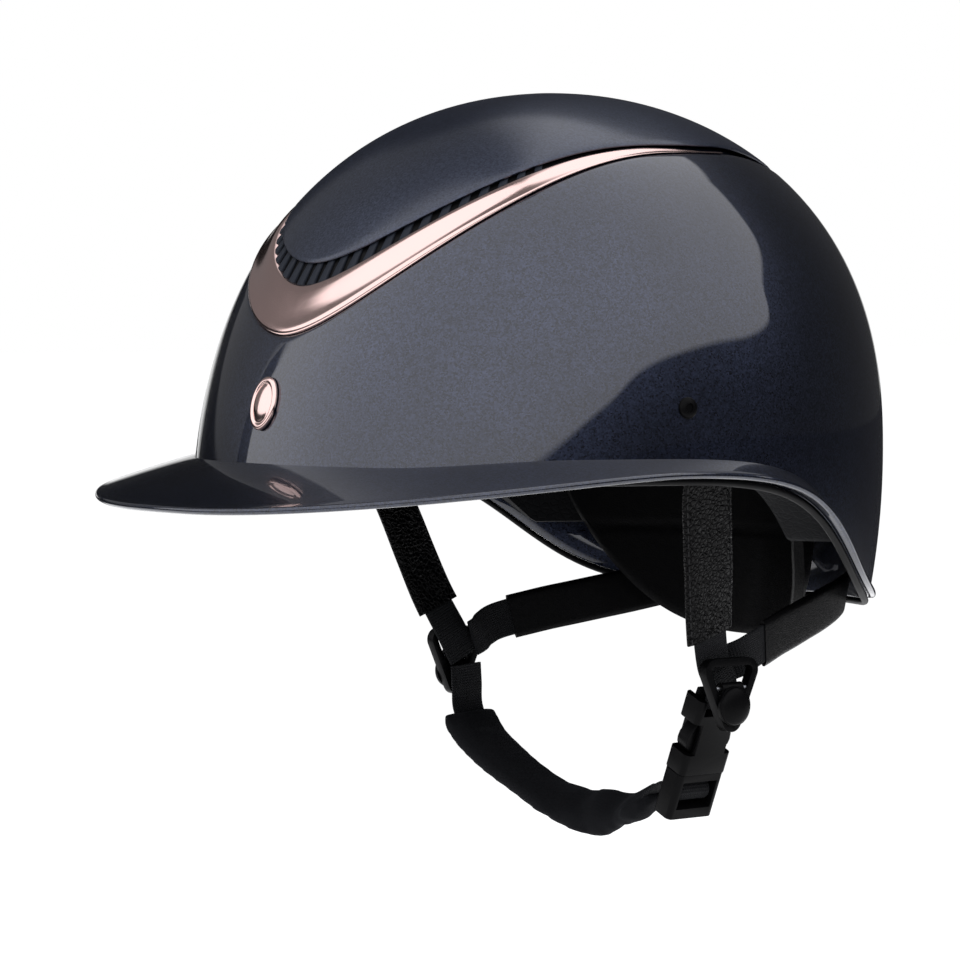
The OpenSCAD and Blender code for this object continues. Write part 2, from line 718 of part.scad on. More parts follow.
module prong() {
    // The rear one of the pair; its pad fills the socket's side window
    reach = buckle_w / 2 - 0.3;
    color("#1c1d20") buckle_frame() {
        translate([0, prong_y, prong_z]) rotate([0, 90, 0])
            cylinder(r = knuckle_r, h = 2 * prong_half_t, center = true);
        translate([prong_half_t, 0, 0]) rotate([0, -90, 0]) linear_extrude(2 * prong_half_t) polygon([
            [prong_z, prong_y - 1], [prong_z, prong_y + 1], [5, prong_y + 1.1], [window_low + 0.4, prong_y + 1.7],
            [window_low + 0.7, cavity_half_w + 0.6], [11, reach - 0.4], [13, reach], [15.5, reach - 0.3],
            [18.5, reach - 2], [21, prong_y + 2.6], [21, prong_y + 1], [19.8, prong_y + 0.3], [9, prong_y - 0.4]
        ]);
    }
}
module prong_rear() { prong(); }
module prong_front() { translate([0, 2 * mouth[1], 0]) mirror([0, 1, 0]) prong(); }

outer_shell();
brim();
crown_panel();
trim();
vent_grille();
front_badge();
edge_piping();
impact_liner();
headband();
crown_liner();
nape_pad();
side_screws();
front_anchors();
rear_anchors();
front_strap_left();
front_strap_right();
front_sleeve_left();
front_sleeve_right();
rear_strap_left();
rear_strap_right();
rear_sleeve_left();
rear_sleeve_right();
divider_frame_left();
divider_frame_right();
divider_pin_left();
divider_pin_right();
divider_cam_left();
divider_cam_right();
buckle_socket();
buckle_plug();
prong_front();
prong_rear();
chin_strap();
chin_pad();
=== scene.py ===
"""Equestrian riding helmet: the visible pieces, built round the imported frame.

Everything is worked out in millimetres in the frame's own axes (+Z up, -Y forward, +X the wearer's left)
and turned to metres when a mesh is made.
"""

import math

import bmesh
import bpy
import numpy as np
from mathutils import Matrix, Vector


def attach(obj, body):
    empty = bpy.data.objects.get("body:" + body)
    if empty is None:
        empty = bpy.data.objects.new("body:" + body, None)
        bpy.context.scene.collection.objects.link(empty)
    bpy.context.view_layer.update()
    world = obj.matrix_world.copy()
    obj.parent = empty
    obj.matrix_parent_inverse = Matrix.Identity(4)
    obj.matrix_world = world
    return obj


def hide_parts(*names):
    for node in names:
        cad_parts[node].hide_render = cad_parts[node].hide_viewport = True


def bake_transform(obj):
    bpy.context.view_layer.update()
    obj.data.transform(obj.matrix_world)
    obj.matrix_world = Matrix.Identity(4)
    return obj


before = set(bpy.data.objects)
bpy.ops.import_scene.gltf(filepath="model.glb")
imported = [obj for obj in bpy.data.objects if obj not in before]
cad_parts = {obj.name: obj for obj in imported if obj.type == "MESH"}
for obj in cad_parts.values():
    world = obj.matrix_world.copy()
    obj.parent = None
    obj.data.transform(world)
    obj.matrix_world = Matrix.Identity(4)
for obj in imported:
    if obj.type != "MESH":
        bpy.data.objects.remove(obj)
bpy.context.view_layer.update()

MM = 0.001

# ---- Camera and stage ----

VIEW_TURN = 53.0          # degrees from straight ahead towards the wearer's left
VIEW_RISE = 2.6
VIEW_DISTANCE = 1.4       # metres
VIEW_SHIFT = (-0.02385, -0.01027)
LENS = 136.5
FLOOR_Z = -0.32


def make_camera():
    turn, rise = math.radians(VIEW_TURN), math.radians(VIEW_RISE)
    right = Vector((math.cos(turn), math.sin(turn), 0))
    back = Vector((math.sin(turn) * math.cos(rise), -math.cos(turn) * math.cos(rise), math.sin(rise)))
    up = back.cross(right)
    data = bpy.data.cameras.new("camera")
    data.lens = LENS
    data.sensor_width = 36
    data.clip_start = 0.05
    camera = bpy.data.objects.new("camera", data)
    place = back * VIEW_DISTANCE + right * VIEW_SHIFT[0] + up * VIEW_SHIFT[1]
    turned = Matrix((right, up, back)).transposed().to_4x4()
    camera.matrix_world = Matrix.Translation(place) @ turned
    bpy.context.scene.collection.objects.link(camera)
    bpy.context.scene.camera = camera


make_camera()


# ---- Materials ----


def linear(code):
    """A colour written as sRGB hex, as linear RGBA."""
    parts = [int(code[i:i + 2], 16) / 255 for i in (1, 3, 5)]
    return [c / 12.92 if c <= 0.04045 else ((c + 0.055) / 1.055) ** 2.4 for c in parts] + [1.0]


def add(tree, kind, inputs=None, **settings):
    """Adds a node. An input given another node's output is linked, and anything else is set on the socket."""
    node = tree.nodes.new(kind)
    for key, value in settings.items():
        setattr(node, key, value)
    for key, value in (inputs or {}).items():
        if isinstance(value, bpy.types.NodeSocket):
            tree.links.new(value, node.inputs[key])
        else:
            node.inputs[key].default_value = value
    return node


def material(name, colour, **values):
    """A Principled material, its tree and its shader; values are socket names with _ for spaces."""
    made = bpy.data.materials.new(name)
    made.use_nodes = True
    tree = made.node_tree
    shader = tree.nodes["Principled BSDF"]
    shader.inputs["Base Color"].default_value = linear(colour)
    for key, value in values.items():
        shader.inputs[key.replace("_", " ")].default_value = value
    return made, tree, shader


def per_mm(size):
    """Scale of a texture in object space whose pattern repeats every size millimetres."""
    return 1 / (size * MM)


FLAKE_MM = 0.55


def clear_coated_lacquer(name, dark, light, roughness, coat, coat_roughness, flake):
    """Metallic lacquer: aluminium flake in a tinted base, sprayed on ABS, under a polished clear coat.

    The flake gives a fine glitter that stays under the smooth coat. Real flake is some 0.03 mm across: it is drawn
    at FLAKE_MM so that it shows.
    """
    made, tree, shader = material(
        name, dark, Metallic=0.8, Roughness=roughness, Coat_Weight=coat, Coat_Roughness=coat_roughness, Coat_IOR=1.6
    )
    place = add(tree, "ShaderNodeTexCoord")
    grains = add(tree, "ShaderNodeTexVoronoi", {"Vector": place.outputs["Object"], "Scale": per_mm(FLAKE_MM)})
    drift = add(tree, "ShaderNodeTexNoise", {"Vector": place.outputs["Object"], "Scale": per_mm(60), "Detail": 2.0})
    spread = add(tree, "ShaderNodeMapRange", {"Value": grains.outputs["Color"], "From Min": 0.15, "From Max": 0.95,
                                              "To Min": 0.0, "To Max": 0.75})
    lift = add(tree, "ShaderNodeMath", {0: spread.outputs["Result"], 1: drift.outputs["Fac"]}, operation="MULTIPLY")
    tint = add(tree, "ShaderNodeMix", {0: lift.outputs[0], 6: linear(dark), 7: linear(light)}, data_type="RGBA")
    tree.links.new(tint.outputs[2], shader.inputs["Base Color"])
    bump = add(tree, "ShaderNodeBump", {"Strength": flake, "Distance": 0.00005, "Height": grains.outputs["Distance"]})
    tree.links.new(bump.outputs["Normal"], shader.inputs["Normal"])
    return made


def drifting_roughness(tree, shader, place, size, detail, low, high):
    """Roughness that wanders between low and high over patches of size millimetres."""
    patches = add(tree, "ShaderNodeTexNoise",
                  {"Vector": place.outputs["Object"], "Scale": per_mm(size), "Detail": detail})
    rough = add(tree, "ShaderNodeMapRange", {"Value": patches.outputs["Fac"], "To Min": low, "To Max": high})
    tree.links.new(rough.outputs["Result"], shader.inputs["Roughness"])


def rose_chrome(name):
    """ABS plated with rose-toned chrome and polished: mirror bright, with the faintest polishing haze."""
    made, tree, shader = material(name, "#ecccc5", Metallic=1.0, Roughness=0.13)
    place = add(tree, "ShaderNodeTexCoord")
    drifting_roughness(tree, shader, place, 9, 4.0, 0.09, 0.2)
    return made


def moulded_plastic(name, colour, roughness, texture_mm, depth_mm, shine=0.5):
    """Injection-moulded plastic with an etched tool texture: an even, fine tooth and a soft highlight."""
    made, tree, shader = material(name, colour, Roughness=roughness, Specular_IOR_Level=shine)
    place = add(tree, "ShaderNodeTexCoord")
    tooth = add(tree, "ShaderNodeTexNoise",
                {"Vector": place.outputs["Object"], "Scale": per_mm(texture_mm), "Detail": 3.0, "Roughness": 0.6})
    drifting_roughness(tree, shader, place, 14, 3.0, roughness - 0.08, roughness + 0.1)
    bump = add(tree, "ShaderNodeBump", {"Strength": 0.7, "Distance": depth_mm * MM, "Height": tooth.outputs["Fac"]})
    tree.links.new(bump.outputs["Normal"], shader.inputs["Normal"])
    return made


def pebbled_leather(name, colour, grain_mm, depth_mm, roughness, shine):
    """Coated leather embossed with a pebble grain: rounded cells with sharp valleys and a waxy shine."""
    made, tree, shader = material(name, colour, Roughness=roughness, Specular_IOR_Level=shine)
    place = add(tree, "ShaderNodeTexCoord")
    warp = add(tree, "ShaderNodeTexNoise", {"Vector": place.outputs["Object"], "Scale": per_mm(grain_mm * 1.6),
                                            "Detail": 2.0})
    pushed = add(tree, "ShaderNodeMix", {0: 0.0011, 4: place.outputs["Object"], 5: warp.outputs["Color"]},
                 data_type="VECTOR", factor_mode="UNIFORM", clamp_factor=False)
    cells = add(tree, "ShaderNodeTexVoronoi", {"Vector": pushed.outputs[1], "Scale": per_mm(grain_mm)},
                feature="DISTANCE_TO_EDGE")
    round_top = add(tree, "ShaderNodeMapRange", {"Value": cells.outputs["Distance"], "From Max": 0.22},
                    interpolation_type="SMOOTHSTEP")
    fine = add(tree, "ShaderNodeTexNoise", {"Vector": place.outputs["Object"], "Scale": per_mm(0.35), "Detail": 2.0})
    height = add(tree, "ShaderNodeMath", {0: fine.outputs["Fac"], 1: 0.15, 2: round_top.outputs["Result"]},
                 operation="MULTIPLY_ADD")
    bump = add(tree, "ShaderNodeBump", {"Strength": 1.0, "Distance": depth_mm * MM, "Height": height.outputs[0]})
    tree.links.new(bump.outputs["Normal"], shader.inputs["Normal"])
    worn = add(tree, "ShaderNodeMapRange", {"Value": round_top.outputs["Result"], "To Min": roughness + 0.2,
                                            "To Max": roughness - 0.06})
    tree.links.new(worn.outputs["Result"], shader.inputs["Roughness"])
    return made


def woven_webbing(name, colour):
    """Polyester webbing, plain woven: ribs across the strap every 1.1 mm, warp ends every 0.9 mm, dull sheen."""
    made, tree, shader = material(
        name, colour, Roughness=0.7, Specular_IOR_Level=0.15, Sheen_Weight=0.06, Sheen_Roughness=0.5
    )
    shader.inputs["Sheen Tint"].default_value = linear("#8a8d95")
    place = add(tree, "ShaderNodeUVMap", uv_map="strap")
    parts = add(tree, "ShaderNodeSeparateXYZ", {0: place.outputs["UV"]})
    across = add(tree, "ShaderNodeMath", {0: parts.outputs["X"], 1: 2 * math.pi / 0.9}, operation="MULTIPLY")
    along = add(tree, "ShaderNodeMath", {0: parts.outputs["Y"], 1: 2 * math.pi / 1.1}, operation="MULTIPLY")
    warp = add(tree, "ShaderNodeMath", {0: across.outputs[0]}, operation="SINE")
    shifted = add(tree, "ShaderNodeMath", {0: warp.outputs[0], 1: 1.2, 2: along.outputs[0]}, operation="MULTIPLY_ADD")
    weft = add(tree, "ShaderNodeMath", {0: shifted.outputs[0]}, operation="SINE")
    height = add(tree, "ShaderNodeMath", {0: warp.outputs[0], 1: 0.35, 2: weft.outputs[0]}, operation="MULTIPLY_ADD")
    bump = add(tree, "ShaderNodeBump", {"Strength": 0.8, "Distance": 0.00025, "Height": height.outputs[0]})
    tree.links.new(bump.outputs["Normal"], shader.inputs["Normal"])
    # Painted shade: where the weave sinks, the base colour darkens towards near black; where it stands up, it keeps
    # the strap's colour
    weave_painted_shade = add(tree, "ShaderNodeMapRange", {"Value": height.outputs[0], "From Min": -1.3, "From Max": 1.3})
    tint = add(tree, "ShaderNodeMix", {0: weave_painted_shade.outputs["Result"], 6: linear("#08090a"), 7: linear(colour)},
               data_type="RGBA")
    tree.links.new(tint.outputs[2], shader.inputs["Base Color"])
    return made


def knitted_fabric(name, colour, stitch_mm, depth_mm):
    """Warp-knitted polyester over foam: rows of small stitches, with painted shade darkening each one towards the
    gaps between them, and a soft sheen.
    """
    made, tree, shader = material(
        name, colour, Roughness=0.85, Specular_IOR_Level=0.12, Sheen_Weight=0.08, Sheen_Roughness=0.5
    )
    shader.inputs["Sheen Tint"].default_value = linear("#7d8088")
    place = add(tree, "ShaderNodeTexCoord")
    stitches = add(tree, "ShaderNodeTexVoronoi",
                   {"Vector": place.outputs["Object"], "Scale": per_mm(stitch_mm), "Randomness": 0.25})
    cloudy = add(tree, "ShaderNodeTexNoise", {"Vector": place.outputs["Object"], "Scale": per_mm(7), "Detail": 3.0})
    # Painted shade: the colour darkens from each stitch's middle to near black in the gaps, and the cloudy noise
    # below fades that shade out in patches
    tint = add(tree, "ShaderNodeMix", {0: stitches.outputs["Distance"], 6: linear(colour), 7: linear("#050506")},
               data_type="RGBA")
    patchy_stitch_shade = add(tree, "ShaderNodeMix", {0: cloudy.outputs["Fac"], 6: tint.outputs[2], 7: linear(colour)},
                data_type="RGBA")
    tree.links.new(patchy_stitch_shade.outputs[2], shader.inputs["Base Color"])
    bump = add(tree, "ShaderNodeBump", {"Strength": 0.7, "Distance": depth_mm * MM,
                                        "Height": stitches.outputs["Distance"]}, invert=True)
    tree.links.new(bump.outputs["Normal"], shader.inputs["Normal"])
    return made


def bead_foam(name, colour):
    """Moulded bead foam (expanded polystyrene, dyed black): beads of about 3 mm pressed flat against the tool."""
    made, tree, shader = material(name, colour, Roughness=0.8, Specular_IOR_Level=0.15)
    place = add(tree, "ShaderNodeTexCoord")
    beads = add(tree, "ShaderNodeTexVoronoi", {"Vector": place.outputs["Object"], "Scale": per_mm(3)},
                feature="DISTANCE_TO_EDGE")
    seam = add(tree, "ShaderNodeMapRange", {"Value": beads.outputs["Distance"], "From Max": 0.12})
    bump = add(tree, "ShaderNodeBump", {"Strength": 0.8, "Distance": 0.0002, "Height": seam.outputs["Result"]})
    tree.links.new(bump.outputs["Normal"], shader.inputs["Normal"])
    return made


def plated_steel(name):
    """Zinc-plated steel: a grey metal with a fine, uneven shine."""
    made, tree, shader = material(name, "#9a9ca0", Metallic=1.0, Roughness=0.3)
    place = add(tree, "ShaderNodeTexCoord")
    drifting_roughness(tree, shader, place, 0.8, 3.0, 0.22, 0.42)
    return made


GLOSS = clear_coated_lacquer("gloss_lacquer", "#0c111e", "#48516d", 0.34, 1.0, 0.02, 0.35)
SATIN = clear_coated_lacquer("satin_lacquer", "#1e2434", "#525b72", 0.42, 0.6, 0.2, 0.3)
CHROME = rose_chrome("rose_chrome_plate")
VANE = moulded_plastic("moulded_abs_slate", "#22262e", 0.5, 0.5, 0.02, 0.15)
# Painted shade: a near-black finish for the sheet under the vent vanes, standing in for the dark of the vent openings
VENT_SHADE_BLACK = moulded_plastic("vent_painted_shade_black", "#040405", 0.6, 0.5, 0.02, 0.15)
NYLON = moulded_plastic("moulded_nylon_black", "#050506", 0.38, 0.45, 0.06, 0.07)
RUBBER = moulded_plastic("extruded_rubber_black", "#050506", 0.5, 0.8, 0.02, 0.15)
LEATHER = pebbled_leather("pebbled_leather_black", "#050506", 1.7, 0.6, 0.22, 0.1)
NAPPA = pebbled_leather("smooth_leather_black", "#050506", 0.9, 0.05, 0.36, 0.07)
WEBBING = woven_webbing("woven_polyester_webbing", "#121316")
KNIT = knitted_fabric("warp_knit_over_foam", "#111215", 0.95, 0.16)
LINING = knitted_fabric("lining_knit", "#0e0f11", 1.6, 0.22)
FOAM = bead_foam("bead_foam_black", "#101113")
STEEL = plated_steel("zinc_plated_steel")
THREAD = moulded_plastic("bonded_nylon_thread", "#141416", 0.5, 0.3, 0.02, 0.2)


# ---- Sizes and curves of the dome, the same as the frame's ----

HALF_W, FRONT, REAR, HEIGHT, MIDDLE_Y = 112, 142, 136, 138, 7
FRONT_BASE, TUCK, TUCK_DEPTH = 48, 8, 70
WALL, INLAY, STEP_RUN = 2.6, 2.4, 8
BRIM_FRONT, BRIM_SIDE, BRIM_DIP, LIP_T, BAND_H, NAPE_DROP = 43, 6, 17, 2.6, 6.8, 55
TRIM_LOW, TRIM_H, VENT_H, TRIM_END = 45.5, 18.5, 8, 113
TRIM_SIDE, SLOT_SIDE, PANEL_SIDE = TRIM_LOW + 68, 115.5, 116      # heights that the three edges rise to
SKIN_GAP, SEAT_GAP = 0.9, 0.3
BEAD_R = 1.4
LINER_T, PAD_T, CROWN_PAD_T = 18.5, 6, 4
LINER_INNER = WALL + INLAY + LINER_T
PAD_OUTER = LINER_INNER + SKIN_GAP


def ease(t):
    u = np.clip(t, 0, 1)
    return u * u * (3 - 2 * u)


def fold(a):
    return np.abs((np.asarray(a, float) + 180) % 360 - 180)


def dome(a, z, d=0.0, out=0.0):
    """Points of the dome moved inward by d, at bearings a (0 front, 90 over the left ear) and heights z."""
    a, z, d, out = np.broadcast_arrays(*(np.asarray(v, float) for v in (a, z, d, out)))
    turn = np.radians(a)
    s = np.clip(z / (HEIGHT - d), 0, 0.99999)
    ahead_s = np.clip((z + FRONT_BASE) / (HEIGHT - d + FRONT_BASE), 0, 0.99999)
    pull = TUCK * (np.maximum(-z, 0) / TUCK_DEPTH) ** 2
    side = (HALF_W - d) * np.sqrt(1 - s ** 2.5) - pull
    ahead = (FRONT - d) * (1 - ahead_s ** 2.2) ** (1 / 2.2)
    behind = (REAR - d) * np.sqrt(1 - s ** 2.35) - pull
    front = np.cos(turn) > 0
    n = np.where(front, 2.5, 2.0)
    reach = np.where(front, ahead, behind)
    r = ((np.abs(np.sin(turn)) / side) ** n + (np.abs(np.cos(turn)) / reach) ** n) ** (-1 / n) + out
    return np.stack([r * np.sin(turn), MIDDLE_Y - r * np.cos(turn), z], -1)


def nape(a):
    return NAPE_DROP / (1 + np.exp((120 - fold(a)) / 9.5))


def seam_z(a):
    return -0.5 + 2.9 * ease((fold(a) - 25) / 30) - nape(a) - 3.2 * ease((fold(a) - 100) / 35)


def rim_z(a):
    return -0.5 + 2.9 * ease((fold(a) - 25) / 30) - BAND_H - nape(a)


def lip_z(a):
    return -BRIM_DIP + (BRIM_DIP + 2.4 - BAND_H) * ease((fold(a) - 5) / 70) - nape(a)


def lip_out(a):
    f = fold(a)
    ahead = BRIM_SIDE + (BRIM_FRONT - BRIM_SIDE) * np.cos(np.radians(90 * np.minimum(f / 92, 1))) ** 1.6
    return np.where(f < 92, ahead, BRIM_SIDE - 4 * ease((f - 92) / 40))


def back_dip(a):
    return 13 * ease((fold(a) - 115) / 65)


def rising(a, low, high, width, power):
    """A curve that is low at the front and rises to high along the sides."""
    return low + (high - low) * (1 - np.exp(-(fold(a) / width) ** power)) - back_dip(a)


def trim_z(a):
    return rising(a, TRIM_LOW, TRIM_SIDE, 39, 1.85)


def slot_z(a):
    return rising(a, TRIM_LOW + TRIM_H, SLOT_SIDE, 36.5, 1.8)


def panel_z(a):
    return rising(a, TRIM_LOW + TRIM_H + VENT_H, PANEL_SIDE, 37.2, 1.9)


def shell_inner(a, z):
    return WALL + INLAY * ease((z - trim_z(a) + STEP_RUN) / STEP_RUN)


# ---- Mesh helpers ----


def mesh_object(name, points, faces, finish, sharp=40, uv=None):
    """A smooth-shaded mesh object from points in millimetres; edges sharper than the angle stay crisp."""
    mesh = bpy.data.meshes.new(name)
    mesh.from_pydata((np.asarray(points, float) * MM).tolist(), [], faces)
    mesh.validate()
    work = bmesh.new()
    work.from_mesh(mesh)
    bmesh.ops.recalc_face_normals(work, faces=work.faces)
    work.to_mesh(mesh)
    work.free()
    mesh.polygons.foreach_set("use_smooth", [True] * len(mesh.polygons))
    mesh.set_sharp_from_angle(angle=math.radians(sharp))
    if uv is not None:
        layer = mesh.uv_layers.new(name="strap")
        at = np.asarray(uv, float)[[loop.vertex_index for loop in mesh.loops]]
        layer.data.foreach_set("uv", at.ravel())
    mesh.materials.append(finish)
    made = bpy.data.objects.new(name, mesh)
    bpy.context.scene.collection.objects.link(made)
    return made


def skin(name, rings, finish, ends="caps", poles=(), sharp=40, uv=None):
    """Joins rings of equal point counts into one closed surface."""
    rings = np.asarray(rings, float)
    n, m = rings.shape[:2]
    faces = []
    for i in range(n if ends == "loop" else n - 1):
        k = (i + 1) % n
        faces += [(i * m + j, i * m + (j + 1) % m, k * m + (j + 1) % m, k * m + j) for j in range(m)]
    points = rings.reshape(-1, 3)
    if ends == "caps":
        faces += [tuple(range(m))[::-1], tuple(range((n - 1) * m, n * m))]
    if ends == "poles":
        faces += [(n * m, (j + 1) % m, j) for j in range(m)]
        faces += [(n * m + 1, (n - 1) * m + j, (n - 1) * m + (j + 1) % m) for j in range(m)]
        points = np.concatenate([points, np.asarray(poles, float)])
    return mesh_object(name, points, faces, finish, sharp, uv)


def place(piece, body, slot, *nodes):
    """Rides the piece on its body and hides the frame's nodes that it stands for. The slot, meant to name its finish,
    is not used.

    A piece between two bodies has no body here.
    """
    if body:
        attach(piece, body)
    if nodes:
        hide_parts(*nodes)
    return piece


def rise(low, top, i, n):
    return low + (top - low) * math.sin(math.pi / 2 * i / n)


AROUND = np.arange(0, 360, 1.5)


# ---- Shell ----


def make_outer_shell():
    rings = []
    inner_top = HEIGHT - WALL - INLAY
    for i in range(23, 0, -1):
        z = rise(rim_z(AROUND), inner_top, i, 24)
        rings.append(dome(AROUND, z, shell_inner(AROUND, z)))
    for lift, depth in ((0.7, WALL), (0.15, WALL - 0.25), (0, WALL - 0.8), (0, 0.8), (0.15, 0.25), (0.7, 0)):
        rings.append(dome(AROUND, rim_z(AROUND) + lift, depth))
    low, high = rim_z(AROUND) + 0.7, trim_z(AROUND) - 1.5
    rings += [dome(AROUND, low + (high - low) * i / 40) for i in range(1, 41)]
    for drop, depth in ((0.8, 0.07), (0.35, 0.3), (0.1, 0.7), (0, 1.3), (0, INLAY)):
        rings.append(dome(AROUND, trim_z(AROUND) - drop, depth))
    for i in range(1, 16):
        rings.append(dome(AROUND, rise(trim_z(AROUND) + 0.02, HEIGHT - INLAY, i, 16), INLAY))
    poles = [(0, MIDDLE_Y, inner_top), (0, MIDDLE_Y, HEIGHT - INLAY)]
    place(skin("dome_shell", rings, GLOSS, "poles", poles), "helmet", "shell_gloss", "outer_shell")


def make_crown_panel():
    under = INLAY - SKIN_GAP
    rings = []
    for i in range(11, 0, -1):
        rings.append(dome(AROUND, rise(panel_z(AROUND) + 1.2, HEIGHT - under, i, 12), under))
    edge = ((1.2, under), (0.25, under - 0.1), (0, 1.15), (0.1, 0.7), (0.45, 0.32), (1.0, 0.1), (2.0, 0))
    rings += [dome(AROUND, panel_z(AROUND) + lift, depth) for lift, depth in edge]
    rings += [dome(AROUND, rise(panel_z(AROUND) + 2, HEIGHT, i, 28)) for i in range(1, 28)]
    poles = [(0, MIDDLE_Y, HEIGHT - under), (0, MIDDLE_Y, HEIGHT)]
    place(skin("crown_inlay", rings, SATIN, "poles", poles), "helmet", "panel_satin", "crown_panel")


def make_trim():
    """A bright rolled bead along the lower edge, then a shallow dish up to the vent slot."""
    profile = (
        (0, 2.1), (0, 0.5), (0.015, 0.0), (0.05, -0.5), (0.1, -0.8), (0.15, -0.85), (0.2, -0.72), (0.26, -0.5),
        (0.36, -0.32), (0.5, -0.26), (0.65, -0.28), (0.8, -0.3), (0.9, -0.22), (0.96, 0.02), (0.99, 0.4), (1, 0.9),
        (1, 2.1)
    )
    bearings = np.linspace(-TRIM_END, TRIM_END, 221)
    low = trim_z(bearings) + 0.15
    width = np.maximum((slot_z(bearings) - low) * ease((TRIM_END + 3 - fold(bearings)) / 40), 0.5)
    stand = np.clip(width / 7, 0.12, 1)
    rings = []
    for a, z, w, k in zip(bearings, low, width, stand):
        rings.append([dome(a, z + w * t, d * k if d < 0 else d * max(k, 0.75)) for t, d in profile])
    place(skin("slot_trim", rings, CHROME, sharp=50), "helmet", "trim_metal", "trim")


VANE_PITCH, VANE_W, LEAST_SLOT = 8, 4.6, 1.2


def make_vents():
    """Vanes that cross the slot like the teeth of a comb, over a black floor that is painted shade: it stands for the
    dark of the vent openings between the vanes.
    """
    pitch = math.degrees(VANE_PITCH / FRONT)
    half = math.degrees(VANE_W / FRONT) / 2
    vanes = []
    for k in range(-14, 14):
        a = (k + 0.5) * pitch * (1 + 0.004 * abs(k) ** 1.2)
        if float(panel_z(a) - slot_z(a)) <= LEAST_SLOT:
            continue
        rings = []
        for t in np.linspace(0, 1, 9):
            sides = ((-1, INLAY - 0.35), (-1, 1.15), (-0.9, 0.95), (-0.6, 0.88), (0, 0.86), (0.6, 0.88),
                     (0.9, 0.95), (1, 1.15), (1, INLAY - 0.35))
            row = []
            for s, d in sides:
                at = a + s * half * (1 - 0.12 * t)
                low, high = slot_z(at) + 0.05, panel_z(at) + 0.35
                row.append(dome(at, low + (high - low) * t, d + 0.5 * t * (d < 1.2)))
            rings.append(row)
        vanes.append(rings)
    for number, rings in enumerate(vanes):
        vane = skin(f"vent_vane_{number + 1:02d}", rings, VANE, sharp=50)
        place(vane, "helmet", "vent_plastic", "vent_grille")
    bearings = np.linspace(-78, 78, 157)
    # A near-black strip over the slot's floor: painted shade for the vent openings between the vanes
    floor = [
        [dome(a, slot_z(a) - 1, 2.05), dome(a, slot_z(a) - 1, 2.3), dome(a, panel_z(a) + 1.5, 2.3),
         dome(a, panel_z(a) + 1.5, 2.05)]
        for a in bearings
    ]
    place(skin("vent_shade_floor", floor, VENT_SHADE_BLACK), "helmet", "vent_plastic", "vent_grille")


def make_brim():
    """A curved plate that leaves the dome at the seam, with a rolled lip all round."""
    a = AROUND
    out, seam, rim, lip = lip_out(a), seam_z(a), rim_z(a), lip_z(a)
    radius = np.minimum(LIP_T / 2, out / 3)
    reach = out - radius
    top_lip = lip + LIP_T
    rows = [(0.1, rim), (0.1, seam - 0.35), (0.25, seam - 0.1)]
    for t in (0.04, 0.12, 0.25, 0.4, 0.55, 0.7, 0.82, 0.92, 1.0):
        rows.append((0.25 + (reach - 0.25) * t, seam - 0.1 + (top_lip - seam + 0.1) * t ** 1.12))
    for turn in (22, 45, 67, 90, 113, 135, 158, 180):
        c = math.radians(90 - turn)
        rows.append((reach + radius * math.cos(c), lip + LIP_T / 2 + LIP_T / 2 * math.sin(c)))
    for t in (0.9, 0.75, 0.55, 0.35, 0.18, 0.06):
        rows.append((reach * t, lip + (rim - lip) * (1 - t) ** 0.8))
    section = [dome(a, seam, 0.0, o) + np.stack([0 * a, 0 * a, z - seam], -1) for o, z in rows]
    rings = np.stack(section, 1)
    place(skin("wide_brim", rings, GLOSS, "loop", sharp=35), "helmet", "shell_gloss", "brim")


def make_piping():
    """A round bead pressed up against the edge of the wall."""
    turns = np.radians(np.arange(0, 360, 30))
    rings = []
    for a in AROUND:
        points = dome(a, rim_z(a) - BEAD_R - 0.05, 0, -WALL / 2 + BEAD_R * np.cos(turns))
        points[:, 2] -= BEAD_R * np.sin(turns)
        rings.append(points)
    place(skin("edge_bead", rings, RUBBER, "loop"), "helmet", "piping_rubber", "edge_piping")


def frame_on_dome(a, z, d=0.0):
    """A matrix that stands things on the dome with +Z along its outward normal, in millimetres."""
    origin = dome(a, z, d)
    normal = np.cross(dome(a + 1, z, d) - origin, dome(a, z + 1, d) - origin)
    normal = Vector(normal).normalized()
    up = Vector((0, 0, 1))
    across = up.cross(normal).normalized()
    turned = Matrix((across, normal.cross(across), normal)).transposed().to_4x4()
    return Matrix.Translation(Vector(origin)) @ turned


def turned_about(matrix, points):
    return [list(matrix @ Vector(p)) for p in points]


BADGE_Z, BADGE_W, BADGE_H = 21, 15, 20
SCREW_TURN, SCREW_Z = 76, 20


def make_badge():
    """A plain oval stud: a rounded rim round a domed middle."""
    at = frame_on_dome(0, BADGE_Z, -0.35)
    profile = ((1, 0), (1, 0.6), (0.985, 0.95), (0.94, 1.25), (0.88, 1.4), (0.82, 1.38), (0.78, 1.2), (0.755, 1.0),
               (0.72, 1.05), (0.66, 1.35), (0.55, 1.75), (0.42, 2.05), (0.26, 2.28), (0.12, 2.38))
    turns = np.radians(np.arange(0, 360, 7.5))
    rings = []
    for k, h in profile:
        wide, tall = BADGE_W / 2 * k, BADGE_H / 2 * k
        rings.append(turned_about(at, [(wide * math.sin(t), tall * math.cos(t), h) for t in turns]))
    middle = turned_about(at, [(0, 0, 0), (0, 0, 2.4)])
    place(skin("front_stud", rings, CHROME, "poles", middle, sharp=60), "helmet", "trim_metal", "front_badge")


